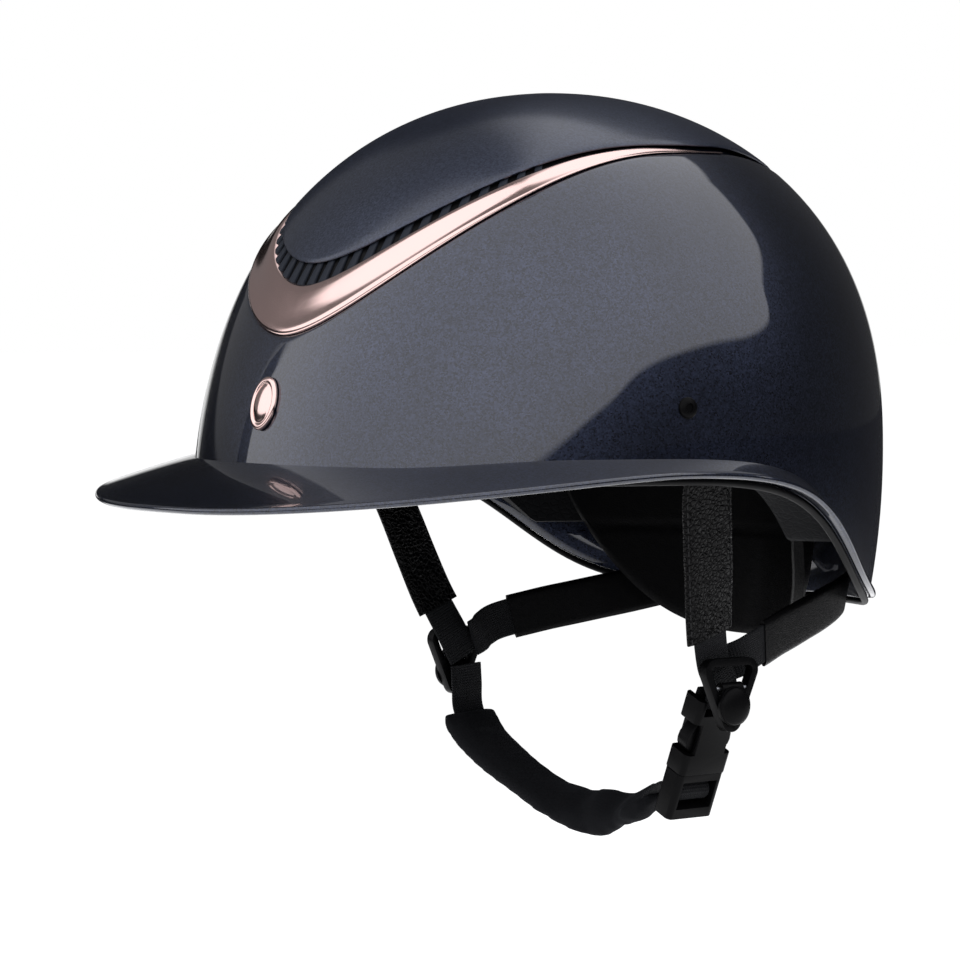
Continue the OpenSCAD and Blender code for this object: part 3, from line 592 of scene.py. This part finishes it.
def make_side_screws():
    profile = ((3.9, 0.05), (3.9, 0.5), (3.7, 0.85), (3.2, 1.15), (2.4, 1.4), (1.75, 1.5), (1.7, 1.45), (1.6, 0.9))
    turns = np.radians(np.arange(0, 360, 12))
    for side, name in ((1, "left"), (-1, "right")):
        at = frame_on_dome(side * SCREW_TURN, SCREW_Z)
        rings = [turned_about(at, [(r * math.cos(t), r * math.sin(t), h) for t in turns]) for r, h in profile]
        middle = turned_about(at, [(0, 0, 0.05), (0, 0, 0.9)])
        screw = skin(f"screw_cap_{name}", rings, NYLON, "poles", middle)
        place(screw, "helmet", "hardware_plastic", "side_screws")


make_outer_shell()
make_crown_panel()
make_trim()
make_vents()
make_brim()
make_piping()
make_badge()
make_side_screws()


# ---- Liner and pads ----

BAND_TOP, CROWN_PAD_LOW = 34, 42
NAPE_HALF, NAPE_TOP, NAPE_LOW = 50, -9.4, 75
CHANNEL = 1.5 + 0.6 + 4 * SEAT_GAP


def liner_outer(a, z):
    return shell_inner(a, z) + SKIN_GAP + CHANNEL * ease((17 - np.abs(fold(a) - 80)) / 4) * ease((40 - z) / 6)


def make_impact_liner():
    low = np.maximum(rim_z(AROUND) + 3.5, -32)
    top = HEIGHT - WALL - INLAY - SKIN_GAP
    rings = [dome(AROUND, rise(low + 1.5, HEIGHT - LINER_INNER, i, 24), LINER_INNER) for i in range(23, -1, -1)]
    rings.append(dome(AROUND, low + 0.4, LINER_INNER))
    rings.append(dome(AROUND, low, LINER_INNER - 1.5))
    rings.append(dome(AROUND, low, liner_outer(AROUND, low) + 1.5))
    for i in range(28):
        z = rise(low + 1.5, top, i, 28)
        rings.append(dome(AROUND, z, liner_outer(AROUND, z)))
    poles = [(0, MIDDLE_Y, HEIGHT - LINER_INNER), (0, MIDDLE_Y, top)]
    place(skin("foam_liner", rings, FOAM, "poles", poles), "helmet", "foam", "impact_liner")


def make_headband():
    """A sewn band: foam pillows between vertical seams, with a bound lower edge."""
    low = np.maximum(rim_z(AROUND) + 3, -9)
    inner = PAD_OUTER + PAD_T
    pillow = np.abs(np.sin(np.radians(AROUND * 6))) ** 0.35
    rows = []
    for t in np.linspace(0, 1, 7):
        rows.append((low + (BAND_TOP - low) * t, PAD_OUTER + 0 * low))
    for t in np.linspace(1, 0, 25):
        belly = (1 - (2 * t - 1) ** 6) * (0.72 + 0.28 * pillow)
        groove = 0.9 * np.exp(-((t - 0.62) / 0.03) ** 2)
        depth = PAD_OUTER + 0.6 + (PAD_T - 0.6) * belly - groove
        rows.append((low + (BAND_TOP - low) * t, np.minimum(depth, inner)))
    rings = np.stack([dome(AROUND, z, d) for z, d in rows], 1)
    band = place(skin("comfort_band", rings, LINING, "loop"), "helmet", "lining", "headband")


def make_crown_liner():
    inner = PAD_OUTER + CROWN_PAD_T
    rings = []
    seams = np.abs(np.sin(np.radians(AROUND * 4))) ** 0.4
    for i in range(23, -1, -1):
        z = rise(CROWN_PAD_LOW + 1.5, HEIGHT - inner, i, 24)
        fade = ease((HEIGHT - inner - z) / 20)
        hollow = 1.4 * (1 - seams) * fade + 1.2 * np.exp(-((z - 62) / 1.6) ** 2)
        rings.append(dome(AROUND, z, inner - hollow))
    rings += [dome(AROUND, rise(CROWN_PAD_LOW, HEIGHT - PAD_OUTER, i, 16), PAD_OUTER) for i in range(16)]
    poles = [(0, MIDDLE_Y, HEIGHT - inner), (0, MIDDLE_Y, HEIGHT - PAD_OUTER)]
    net = place(skin("crown_pad", rings, LINING, "poles", poles), "helmet", "lining", "crown_liner")


def make_nape_pad():
    """Smooth leather over a stiff cradle: a soft rolled edge and one seam across."""
    psi = np.linspace(-NAPE_HALF, NAPE_HALF, 81)
    low = -NAPE_LOW + (NAPE_LOW - 23) * (np.abs(psi) / 48) ** 2.6
    rings = []
    for p, z0 in zip(psi, low):
        a = 180 + p
        row = [dome(a, z0 + (NAPE_TOP - z0) * t, PAD_OUTER + (1 if t == 0 else 0.1)) for t in np.linspace(0, 1, 5)]
        for t in np.linspace(1, 0, 31):
            z = z0 + (NAPE_TOP - z0) * t
            edge = min(1, (1 - t) * (NAPE_TOP - z0) / 3, t * (NAPE_TOP - z0) / 3 + 0.25)
            belly = PAD_T * (0.55 + 0.45 * math.sqrt(max(edge, 0.05)))
            seam = 0.8 * math.exp(-((z + 33) / 0.9) ** 2)
            row.append(dome(a, z, PAD_OUTER + belly - seam))
        rings.append(row)
    pad = place(skin("nape_cradle", rings, NAPPA), "helmet", "nape_leather", "nape_pad")


make_impact_liner()
make_headband()
make_crown_liner()
make_nape_pad()


# ---- Harness ----

WEB_W, WEB_T = 15, 1.5
MOUTH = np.array([61.7, 25, -117.2])
TILT = math.radians(23)
SOCKET_BAR = 29.5


def on_buckle(x, y, z):
    """A point given in the buckle's own frame: out from the cheek, across, and up its axis."""
    c, s = math.cos(TILT), math.sin(TILT)
    return MOUTH + np.array([x * c + z * s, y, z * c - x * s])


def buckle_way(x, z):
    return on_buckle(x, 0, z) - MOUTH


def dome_way(a, z):
    way = np.cross(dome(a + 1, z) - dome(a, z), dome(a, z + 1) - dome(a, z))
    return way / np.linalg.norm(way)


def spline(points, k):
    """A smooth curve through the points, k steps from each to the next."""
    p = np.asarray(points, float)
    made = []
    for i in range(len(p) - 1):
        p0, p1, p2, p3 = p[max(i - 1, 0)], p[i], p[i + 1], p[min(i + 2, len(p) - 1)]
        for t in np.arange(k) / k:
            made.append((2 * p1 + (p2 - p0) * t + (2 * p0 - 5 * p1 + 4 * p2 - p3) * t * t
                         + (3 * p1 - p0 - 3 * p2 + p3) * t ** 3) / 2)
    return np.array(made + [p[-1]])


WEB_DEPTH = WALL + 3 * SEAT_GAP + WEB_T / 2 + 0.2
ANCHOR_T = 1.8
ANCHOR_DEPTH = WALL + 1
REAR_ANCHOR_TURN = 158.6
STEPS = 9

FRONT_HANG = [
    dome(76, 27, WEB_DEPTH), dome(79, 12, WEB_DEPTH), dome(82.5, 1, WEB_DEPTH), (102, -3.8, -10), (96.5, 1.2, -26),
    (91.2, 6.2, -44), (86.2, 10.8, -60), (81.6, 16.4, -74), (80.8, 19.5, -80)
]
FRONT_FACING = [
    dome_way(76, 27), dome_way(79, 12), (1, -0.15, -0.1), (0.97, -0.1, -0.3), (0.96, -0.08, -0.3),
    (0.96, -0.05, -0.3), (0.96, 0, -0.3), (0.98, 0.02, -0.2), (0.98, 0.02, -0.1)
]
SOCKET_LOOP = [
    (79, 23, -85), on_buckle(3.2, -0.3, SOCKET_BAR + 1), on_buckle(2.3, 0, SOCKET_BAR - 2.2),
    on_buckle(0, 0, SOCKET_BAR - 3), on_buckle(-2.3, 0, SOCKET_BAR - 2.2), on_buckle(-2.9, 0, SOCKET_BAR + 0.4),
    on_buckle(-2.7, 0, SOCKET_BAR + 3.6)
]
SOCKET_FACING = [
    (1, 0, -0.1), buckle_way(1, 0), buckle_way(0.8, -0.6), buckle_way(0, -1), buckle_way(-0.8, -0.6),
    buckle_way(-1, 0), buckle_way(-1, 0)
]
REAR_RUN = [
    dome(REAR_ANCHOR_TURN, -40, ANCHOR_DEPTH + ANCHOR_T + WEB_T / 2 + SEAT_GAP),
    dome(REAR_ANCHOR_TURN, -52, ANCHOR_DEPTH + ANCHOR_T + WEB_T), (52.5, 107, -57), (63, 82, -62.5),
    (73, 57, -67.5), (79.2, 40, -71.5), (79.6, 32.5, -74.5), (77, 28, -76.5), (76.2, 24, -78)
]
REAR_FACING = [
    dome_way(REAR_ANCHOR_TURN, -40), dome_way(REAR_ANCHOR_TURN, -48), (0.6, 0.6, -0.1), (0.8, 0.45, -0.1),
    (0.88, 0.36, -0.1), (0.96, 0.2, -0.1), (0.98, 0, -0.1), (0.98, -0.1, -0.1), (1, 0, 0)
]
CHIN_RUN = [
    (-79.5, 22.8, -88.8), (-79.6, 23.4, -97), (-79.6, 24.2, -107), (-71.5, 24.6, -117), (-51, 24, -127.2),
    (-24.5, 23.4, -136.4), (1, 23, -140.2), (23, 23.4, -137), (38.5, 24, -130), on_buckle(-8.7, -0.6, -10.9),
    on_buckle(-4.3, 0, -9.8), on_buckle(-2.3, 0, -7.4), on_buckle(0.5, 0, -6), on_buckle(2.9, 0, -8.4),
    on_buckle(2.1, 0, -11.4), on_buckle(-1.2, 0, -12.9), on_buckle(-6, 0, -13.2)
]
CHIN_FACING = [
    (-1, 0, 0), (-1, 0, 0), (-0.95, 0, -0.3), (-0.65, 0, -0.75), (-0.4, 0, -0.9), (-0.25, 0, -0.97), (0, 0, -1),
    (0.3, 0, -0.95), (0.4, 0, -0.9), (0.2, 0, -1), buckle_way(-0.4, 1), buckle_way(-0.8, 0.6), buckle_way(0, 1),
    buckle_way(1, 0), buckle_way(0.6, -0.8), buckle_way(0.1, -1), buckle_way(0, -1)
]


class Route:
    """A strap's centre line with the direction it runs, the way across it and the way it faces."""

    def __init__(self, points, facing, steps=STEPS):
        self.points = spline(points, steps)
        n = len(self.points)
        ahead = self.points[np.minimum(np.arange(n) + 1, n - 1)] - self.points[np.maximum(np.arange(n) - 1, 0)]
        self.along = ahead / np.linalg.norm(ahead, axis=1)[:, None]
        across = np.cross(spline(facing, steps), self.along)
        self.across = across / np.linalg.norm(across, axis=1)[:, None]
        self.out = np.cross(self.along, self.across)
        step = np.linalg.norm(np.diff(self.points, axis=0), axis=1)
        self.length = np.concatenate([[0], np.cumsum(step)])

    def part(self, first, last):
        """The stretch between two of the listed points, given as fractions of their count."""
        cut = Route.__new__(Route)
        span = slice(round(first * STEPS), round(last * STEPS) + 1)
        for key in ("points", "along", "across", "out", "length"):
            setattr(cut, key, getattr(self, key)[span])
        return cut

    def twist(self, degrees):
        """Turns the strap about its own length, by an angle at each point."""
        cos, sin = np.cos(np.radians(degrees))[:, None], np.sin(np.radians(degrees))[:, None]
        self.across, self.out = self.across * cos + self.out * sin, self.out * cos - self.across * sin

    def at(self, i, w, t):
        return self.points[i] + w * self.across[i] + t * self.out[i]


def mirrored(points):
    return np.asarray(points, float) * (-1, 1, 1)


def strap_section(width, thick):
    """Webbing in section: flat faces and rounded selvedges."""
    half, edge = width / 2, thick / 2
    across = np.linspace(-half + edge, half - edge, 7)
    bottom = [(w, -edge) for w in across]
    top = [(w, edge) for w in across[::-1]]
    turns = (math.pi / 4, math.pi / 2, 3 * math.pi / 4)
    right = [(half - edge + edge * math.sin(t), -edge * math.cos(t)) for t in turns]
    left = [(-w, -t) for w, t in right]
    return bottom + right + top + left


def make_webbing(name, route, body, node, flip=False):
    section = strap_section(WEB_W, WEB_T)
    rings = [[route.at(i, w, t) for w, t in section] for i in range(len(route.points))]
    if flip:
        rings = mirrored(rings)
    uv = [(w, length) for length in route.length for w, t in section]
    strap = skin(name, rings, WEBBING, sharp=60, uv=uv)
    return place(strap, body, "webbing", node)


def make_sleeve(name, route, node, width, finish, flip=False):
    """Leather folded round the webbing and stitched along both edges."""
    count = len(route.points)
    rings = []
    turns = np.radians(np.arange(0, 360, 12))
    for i in range(count):
        t = i / (count - 1)
        wave = 0.25 * math.sin(9 * t + width) + 0.18 * math.sin(23 * t)
        hem = 0.35 * math.exp(-(min(t, 1 - t) * route.length[-1] / 40) ** 2)
        row = []
        for c, s in zip(np.cos(turns), np.sin(turns)):
            w = width / 2 * np.sign(c) * abs(c) ** 0.35
            flat = 1 - 0.45 * ease((abs(w) - WEB_W / 2) / (width / 2 - WEB_W / 2))
            lift = SLEEVE_T / 2 * np.sign(s) * abs(s) ** 0.35 * flat * (1 - hem)
            row.append(route.at(i, w + 0.15 * wave, lift + wave * 0.2))
        rings.append(row)
    inner_w, inner_t = WEB_W / 2 + 0.5, WEB_T / 2 + 0.35
    hole = []
    for i in range(count - 1, -1, -1):
        hole.append([
            route.at(i, inner_w * np.sign(c) * abs(c) ** 0.3, inner_t * np.sign(s) * abs(s) ** 0.3)
            for c, s in zip(np.cos(turns), np.sin(turns))
        ])
    rings = np.asarray(rings + hole)
    if flip:
        rings = mirrored(rings)
    return place(skin(name, rings, finish, "loop", sharp=60), "helmet", "leather", node)


def stitches(name, route, offset, height, flip=False, pitch=3.2):
    """A row of short thread stitches along one edge of a sleeve, joined into one piece."""
    points, faces = [], []
    length = route.length - route.length[0]
    for start in np.arange(1.2, length[-1] - 2.6, pitch):
        ends = []
        for at in (start, start + 2.1):
            i = int(np.argmin(np.abs(length - at)))
            ends.append(route.at(i, offset, height) + (at - length[i]) * route.along[i])
        i = int(np.argmin(np.abs(length - start)))
        side, lift = route.across[i] * 0.28, route.out[i] * 0.3 * math.copysign(1, height)
        base = len(points)
        for end in ends:
            points += [end - side, end - side * 0.5 + lift, end + side * 0.5 + lift, end + side]
        faces += [(base + j, base + j + 1, base + j + 5, base + j + 4) for j in range(3)]
        faces += [(base + 3, base, base + 4, base + 7), (base, base + 1, base + 2, base + 3),
                  (base + 7, base + 6, base + 5, base + 4)]
    if flip:
        points = mirrored(points)
    return mesh_object(name, points, faces, THREAD)


front_left = Route(FRONT_HANG + SOCKET_LOOP, FRONT_FACING + SOCKET_FACING)
front_right = Route(FRONT_HANG + [(79.7, 22.2, -85.5)], FRONT_FACING + [(1, 0, 0)])
rear = Route(REAR_RUN, REAR_FACING)
chin = Route(CHIN_RUN, CHIN_FACING)
# Sleeves: the stretch each covers, its widths and its row of stitches
front_cover = front_right.part(8 / 3, 19 / 3)
rear_cover = rear.part(5 / 3, 14 / 3)
FRONT_SLEEVE_W, REAR_SLEEVE_W, SLEEVE_T = 21, 18, 4
STITCH_OFFSET, STITCH_HEIGHT = 9.2, 1.15

for side, flip, route in (("left", False, front_left), ("right", True, front_right)):
    make_webbing(f"front_webbing_{side}", route, "helmet", f"front_strap_{side}", flip)
    make_webbing(f"rear_webbing_{side}", rear, "helmet", f"rear_strap_{side}", flip)
    make_sleeve(f"front_leather_{side}", front_cover, f"front_sleeve_{side}", FRONT_SLEEVE_W, LEATHER, flip)
    make_sleeve(f"rear_leather_{side}", rear_cover, f"rear_sleeve_{side}", REAR_SLEEVE_W, NAPPA, flip)
    for edge in (-1, 1):
        row = f"front_stitch_{side}_{'front' if edge < 0 else 'rear'}"
        place(stitches(row, front_cover, edge * STITCH_OFFSET, STITCH_HEIGHT, flip), "helmet", "leather")

# The chin strap turns towards its edge inside the gathered end of its pad, and back before the buckle
PAD_START, PAD_END = 6 / 3, 25 / 3
GATHER_START, GATHER_RUN = 0.42, 0.3     # as shares of the pad's length
TWIST, UNTWIST_START = 44, 0.86
along_pad = (np.arange(len(chin.points)) / STEPS - PAD_START) / (PAD_END - PAD_START)
gathered = ease((along_pad - GATHER_START) / GATHER_RUN)
chin.twist(TWIST * gathered * (1 - ease((along_pad - UNTWIST_START) / (1 - UNTWIST_START))))
chin_web = make_webbing("chin_webbing", chin, None, "chin_strap")


PRESSURE, FRAMES = 4.0, 20


def puff(piece, voxel, cap):
    """Blows a pad up as its filling does, and holds every point within cap millimetres of where it was.
    """
    mesh = piece.data
    remesh = piece.modifiers.new("remesh", "REMESH")
    remesh.mode = "VOXEL"
    remesh.voxel_size = voxel * MM
    cast_in(piece)
    before = np.empty(len(piece.data.vertices) * 3)
    piece.data.vertices.foreach_get("co", before)
    cloth = piece.modifiers.new("cloth", "CLOTH")
    cloth.settings.use_pressure = True
    cloth.settings.uniform_pressure_force = PRESSURE
    cloth.settings.effector_weights.gravity = 0
    cloth.settings.quality = 5
    cloth.point_cache.frame_end = FRAMES
    for number in range(1, FRAMES + 1):
        bpy.context.scene.frame_set(number)
    cast_in(piece)
    after = np.empty_like(before)
    piece.data.vertices.foreach_get("co", after)
    move = (after - before).reshape(-1, 3)
    length = np.linalg.norm(move, axis=1)[:, None]
    move *= np.minimum(1, cap * MM / np.maximum(length, 1e-9))
    piece.data.vertices.foreach_set("co", (before.reshape(-1, 3) + move).ravel())
    smooth = piece.modifiers.new("smooth", "SUBSURF")
    smooth.levels = smooth.render_levels = 1
    cast_in(piece)
    bpy.context.scene.frame_set(1)
    piece.data.polygons.foreach_set("use_smooth", [True] * len(piece.data.polygons))
    piece.data.name = mesh.name


def cast_in(piece):
    """Turns what the modifiers make of the piece into its mesh."""
    graph = bpy.context.evaluated_depsgraph_get()
    made = bpy.data.meshes.new_from_object(piece.evaluated_get(graph))
    piece.modifiers.clear()
    piece.data = made


def make_chin_pad():
    """A knitted tube over foam on the webbing: flat by the jaw, and twisted and gathered by the buckle."""
    route = chin.part(PAD_START, PAD_END)
    count = len(route.points)
    turns = np.radians(np.arange(0, 360, 6))
    rings = []
    for i in range(count):
        t = i / (count - 1)
        gather = float(ease((t - GATHER_START) / GATHER_RUN))
        closed = 1 - 0.5 * math.exp(-(t / 0.03) ** 2) - 0.45 * math.exp(-((1 - t) / 0.05) ** 2)
        wide = 13.3 - 3.4 * gather + 1.0 * gather * math.sin(30 * t)
        thick = (3.9 + 0.3 * gather) * closed
        turned = gather * math.radians(12 * math.sin(16 * t - 9))
        row = []
        for turn in turns:
            c, h = math.cos(turn), math.sin(turn)
            crease = gather * (0.75 * math.sin(2 * turn + 34 * t) + 0.55 * math.sin(3 * turn - 47 * t + 1))
            ripple = 0.22 * math.sin(2 * turn + 25 * t) + 0.16 * math.sin(38 * t + 3 * turn)
            w = (wide + 0.35 * ripple) * math.copysign(abs(c) ** 0.6, c)
            lift = (thick + crease + ripple * 0.5) * math.copysign(abs(h) ** 0.7, h)
            row.append(route.at(i, w * math.cos(turned) - lift * math.sin(turned),
                                w * math.sin(turned) + lift * math.cos(turned)))
        rings.append(row)
    return place(skin("chin_cushion", rings, KNIT, sharp=80), None, "chin_fabric", "chin_pad")


chin_cushion = make_chin_pad()
puff(chin_cushion, 3, 1.2)


# ---- Hard parts of the harness: the frame's own shapes with their edges rounded as the mould leaves them ----


EDGE_ANGLE = 30           # edges sharper than this, in degrees, are rounded


def rounded_copy(node, name, radius, body):
    """A copy of a frame node with flat faces merged and its edges rounded."""
    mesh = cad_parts[node].data.copy()
    mesh.materials.clear()
    work = bmesh.new()
    work.from_mesh(mesh)
    bmesh.ops.remove_doubles(work, verts=work.verts, dist=0.00001)
    bmesh.ops.dissolve_limit(work, angle_limit=math.radians(4), verts=work.verts, edges=work.edges)
    sharp = [e for e in work.edges if len(e.link_faces) == 2 and e.calc_face_angle(0) > math.radians(EDGE_ANGLE)]
    bmesh.ops.bevel(work, geom=sharp, offset=radius * MM, segments=3, profile=0.5, affect="EDGES", clamp_overlap=True)
    bmesh.ops.recalc_face_normals(work, faces=work.faces)
    work.to_mesh(mesh)
    work.free()
    mesh.polygons.foreach_set("use_smooth", [True] * len(mesh.polygons))
    mesh.set_sharp_from_angle(angle=math.radians(50))
    mesh.materials.append(NYLON)
    made = bpy.data.objects.new(name, mesh)
    bpy.context.scene.collection.objects.link(made)
    return place(made, body, "hardware_plastic", node)


MOULDINGS = [
    ("buckle_socket", "socket_half", 0.55, "helmet"), ("buckle_plug", "plug_half", 0.5, "plug"),
    ("prong_front", "spring_prong_front", 0.5, "front_prong"), ("prong_rear", "spring_prong_rear", 0.5, "rear_prong")
]
for side in ("left", "right"):
    MOULDINGS.append((f"divider_frame_{side}", f"divider_{side}", 0.9, "helmet"))
    MOULDINGS.append((f"divider_cam_{side}", f"cam_lever_{side}", 0.35, f"cam_{side}"))
for node, name, radius, body in MOULDINGS:
    rounded_copy(node, name, radius, body)

for node, finish in (("divider_pin_left", STEEL), ("divider_pin_right", STEEL), ("front_anchors", STEEL),
                     ("rear_anchors", NYLON)):
    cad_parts[node].data.materials.clear()
    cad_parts[node].data.materials.append(finish)

# The chin strap and its pad run from the right divider to the plug; their transforms are baked into their meshes
for piece in (chin_web, chin_cushion):
    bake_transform(piece)


# ---- Floor and light tent ----


# The light tent's lower edge: bearings and the elevations at which its lit cloth starts, in degrees
TENT_EDGE = (
    (-180, 45), (-165, 46), (-150, 48), (-125, 45), (-108, 38), (-98, 12), (-63.5, 4), (-61.5, 22), (-59, 4), (75, 2),
    (98, 7), (112, 13), (127, 15), (144, 17), (150, 25), (161, 32), (172, 41), (180, 45)
)
TENT_GLOW, ROOM_GLOW = 1.5, 0.045
DIM = 0.12                # share of the glow that the cloth on the wearer's right gives
DIM_TURNS = (-135, -112, -63, -60)        # where that cloth comes in and ends, in degrees
SWEEP_TURN = 238          # a low roll of white paper behind the helmet
PAPER_IN, PAPER_OUT = 0.9, 1.7            # metres at which the floor's white paper starts to fade, and ends
FLOOR_HALF = 30


def seen_white(tree, *also):
    """1 where a camera, transmission or glossy ray arrives, as far as the sockets in also allow the glossy one."""
    path = add(tree, "ShaderNodeLightPath")
    glossy = path.outputs["Is Glossy Ray"]
    for limit in also:
        glossy = add(tree, "ShaderNodeMath", {0: glossy, 1: limit}, operation="MULTIPLY").outputs[0]
    first = add(tree, "ShaderNodeMath", {0: path.outputs["Is Camera Ray"], 1: path.outputs["Is Transmission Ray"]},
                operation="MAXIMUM")
    return add(tree, "ShaderNodeMath", {0: first.outputs[0], 1: glossy}, operation="MAXIMUM").outputs[0]


def white_paper():
    """A round of matt white paper on a dark studio floor, all of it plain white to the camera.

    The paper still darkens where the helmet shades it.
    """
    made = bpy.data.materials.new("white_paper")
    made.use_nodes = True
    tree = made.node_tree
    tree.nodes.clear()
    place = add(tree, "ShaderNodeTexCoord")
    reach = add(tree, "ShaderNodeVectorMath", {0: place.outputs["Object"]}, operation="LENGTH")
    paper = add(tree, "ShaderNodeMapRange",
                {"Value": reach.outputs["Value"], "From Min": PAPER_OUT, "From Max": PAPER_IN})
    colour = add(tree, "ShaderNodeMix", {0: paper.outputs["Result"], 6: linear("#2a2a2c"), 7: linear("#d4d4d4")},
                 data_type="RGBA")
    matt = add(tree, "ShaderNodeBsdfDiffuse", {"Color": colour.outputs[2]})
    lift = add(tree, "ShaderNodeMapRange", {"Value": paper.outputs["Result"], "To Min": 1.0, "To Max": 0.72})
    glow = add(tree, "ShaderNodeEmission", {"Color": (1, 1, 1, 1), "Strength": lift.outputs["Result"]})
    both = add(tree, "ShaderNodeAddShader", {0: matt.outputs[0], 1: glow.outputs[0]})
    white = seen_white(tree, paper.outputs["Result"])
    mix = add(tree, "ShaderNodeMixShader", {0: white, 1: matt.outputs[0], 2: both.outputs[0]})
    add(tree, "ShaderNodeOutputMaterial", {0: mix.outputs[0]})
    return made


def facing(turn):
    """The level unit vector from the helmet towards a bearing in degrees."""
    t = math.radians(turn)
    return Vector((math.sin(t), -math.cos(t), 0))


def make_floor():
    mesh = bpy.data.meshes.new("floor")
    corners = [(x * FLOOR_HALF, y * FLOOR_HALF, 0) for x, y in ((-1, -1), (1, -1), (1, 1), (-1, 1))]
    mesh.from_pydata(corners, [], [(0, 1, 2, 3)])
    mesh.materials.append(white_paper())
    floor = bpy.data.objects.new("floor", mesh)
    floor.location.z = FLOOR_Z
    bpy.context.scene.collection.objects.link(floor)


def make_light_tent():
    """White cloth that glows above TENT_EDGE, a dark room below it, and plain white to the camera."""
    world = bpy.data.worlds.new("studio")
    bpy.context.scene.world = world
    world.use_nodes = True
    tree = world.node_tree
    tree.nodes.clear()
    place = add(tree, "ShaderNodeTexCoord")
    way = add(tree, "ShaderNodeSeparateXYZ", {0: place.outputs["Generated"]})
    ahead = add(tree, "ShaderNodeMath", {0: way.outputs["Y"], 1: -1.0}, operation="MULTIPLY")
    turn = add(tree, "ShaderNodeMath", {0: way.outputs["X"], 1: ahead.outputs[0]}, operation="ARCTAN2")
    share = add(tree, "ShaderNodeMapRange", {"Value": turn.outputs[0], "From Min": -math.pi, "From Max": math.pi})
    edge = add(tree, "ShaderNodeFloatCurve", {"Value": share.outputs["Result"]})
    curve = edge.mapping.curves[0]
    while len(curve.points) < len(TENT_EDGE):
        curve.points.new(0.5, 0.5)
    for point, (bearing, lift) in zip(curve.points, TENT_EDGE):
        point.location = (bearing / 360 + 0.5, lift / 90)
    edge.mapping.update()
    rise_angle = add(tree, "ShaderNodeMath", {0: way.outputs["Z"]}, operation="ARCSINE")
    lift = add(tree, "ShaderNodeMath", {0: rise_angle.outputs[0], 1: 2 / math.pi}, operation="MULTIPLY")
    above = add(tree, "ShaderNodeMath", {0: lift.outputs[0], 1: edge.outputs[0]}, operation="SUBTRACT")
    cloth = add(tree, "ShaderNodeMapRange", {"Value": above.outputs[0], "From Min": -0.004, "From Max": 0.012,
                                             "To Min": ROOM_GLOW, "To Max": TENT_GLOW})
    dim_0, dim_1, dim_2, dim_3 = (math.radians(bearing) for bearing in DIM_TURNS)
    far = add(tree, "ShaderNodeMapRange",
              {"Value": turn.outputs[0], "From Min": dim_2, "From Max": dim_3, "To Min": DIM, "To Max": 1.0})
    back = add(tree, "ShaderNodeMapRange",
               {"Value": turn.outputs[0], "From Min": dim_1, "From Max": dim_0, "To Min": DIM, "To Max": 1.0})
    dim = add(tree, "ShaderNodeMath", {0: far.outputs["Result"], 1: back.outputs["Result"]}, operation="MAXIMUM")
    glow = add(tree, "ShaderNodeMath", {0: cloth.outputs["Result"], 1: dim.outputs[0]}, operation="MULTIPLY")
    tent = add(tree, "ShaderNodeBackground", {"Color": linear("#fbfbff"), "Strength": glow.outputs[0]})

    behind = add(tree, "ShaderNodeVectorMath", {0: place.outputs["Generated"], 1: facing(SWEEP_TURN)},
                 operation="DOT_PRODUCT")
    wide = add(tree, "ShaderNodeMapRange", {"Value": behind.outputs["Value"], "From Min": 0.93, "From Max": 0.97})
    low = add(tree, "ShaderNodeMapRange", {"Value": way.outputs["Z"], "From Min": 0.11, "From Max": 0.05})
    white = add(tree, "ShaderNodeBackground", {"Color": (1, 1, 1, 1), "Strength": 1.0})
    mix = add(tree, "ShaderNodeMixShader", {
        0: seen_white(tree, wide.outputs["Result"], low.outputs["Result"]), 1: tent.outputs[0], 2: white.outputs[0]
    })
    add(tree, "ShaderNodeOutputWorld", {0: mix.outputs[0]})


make_floor()
make_light_tent()
bpy.context.scene.view_settings.view_transform = "Standard"
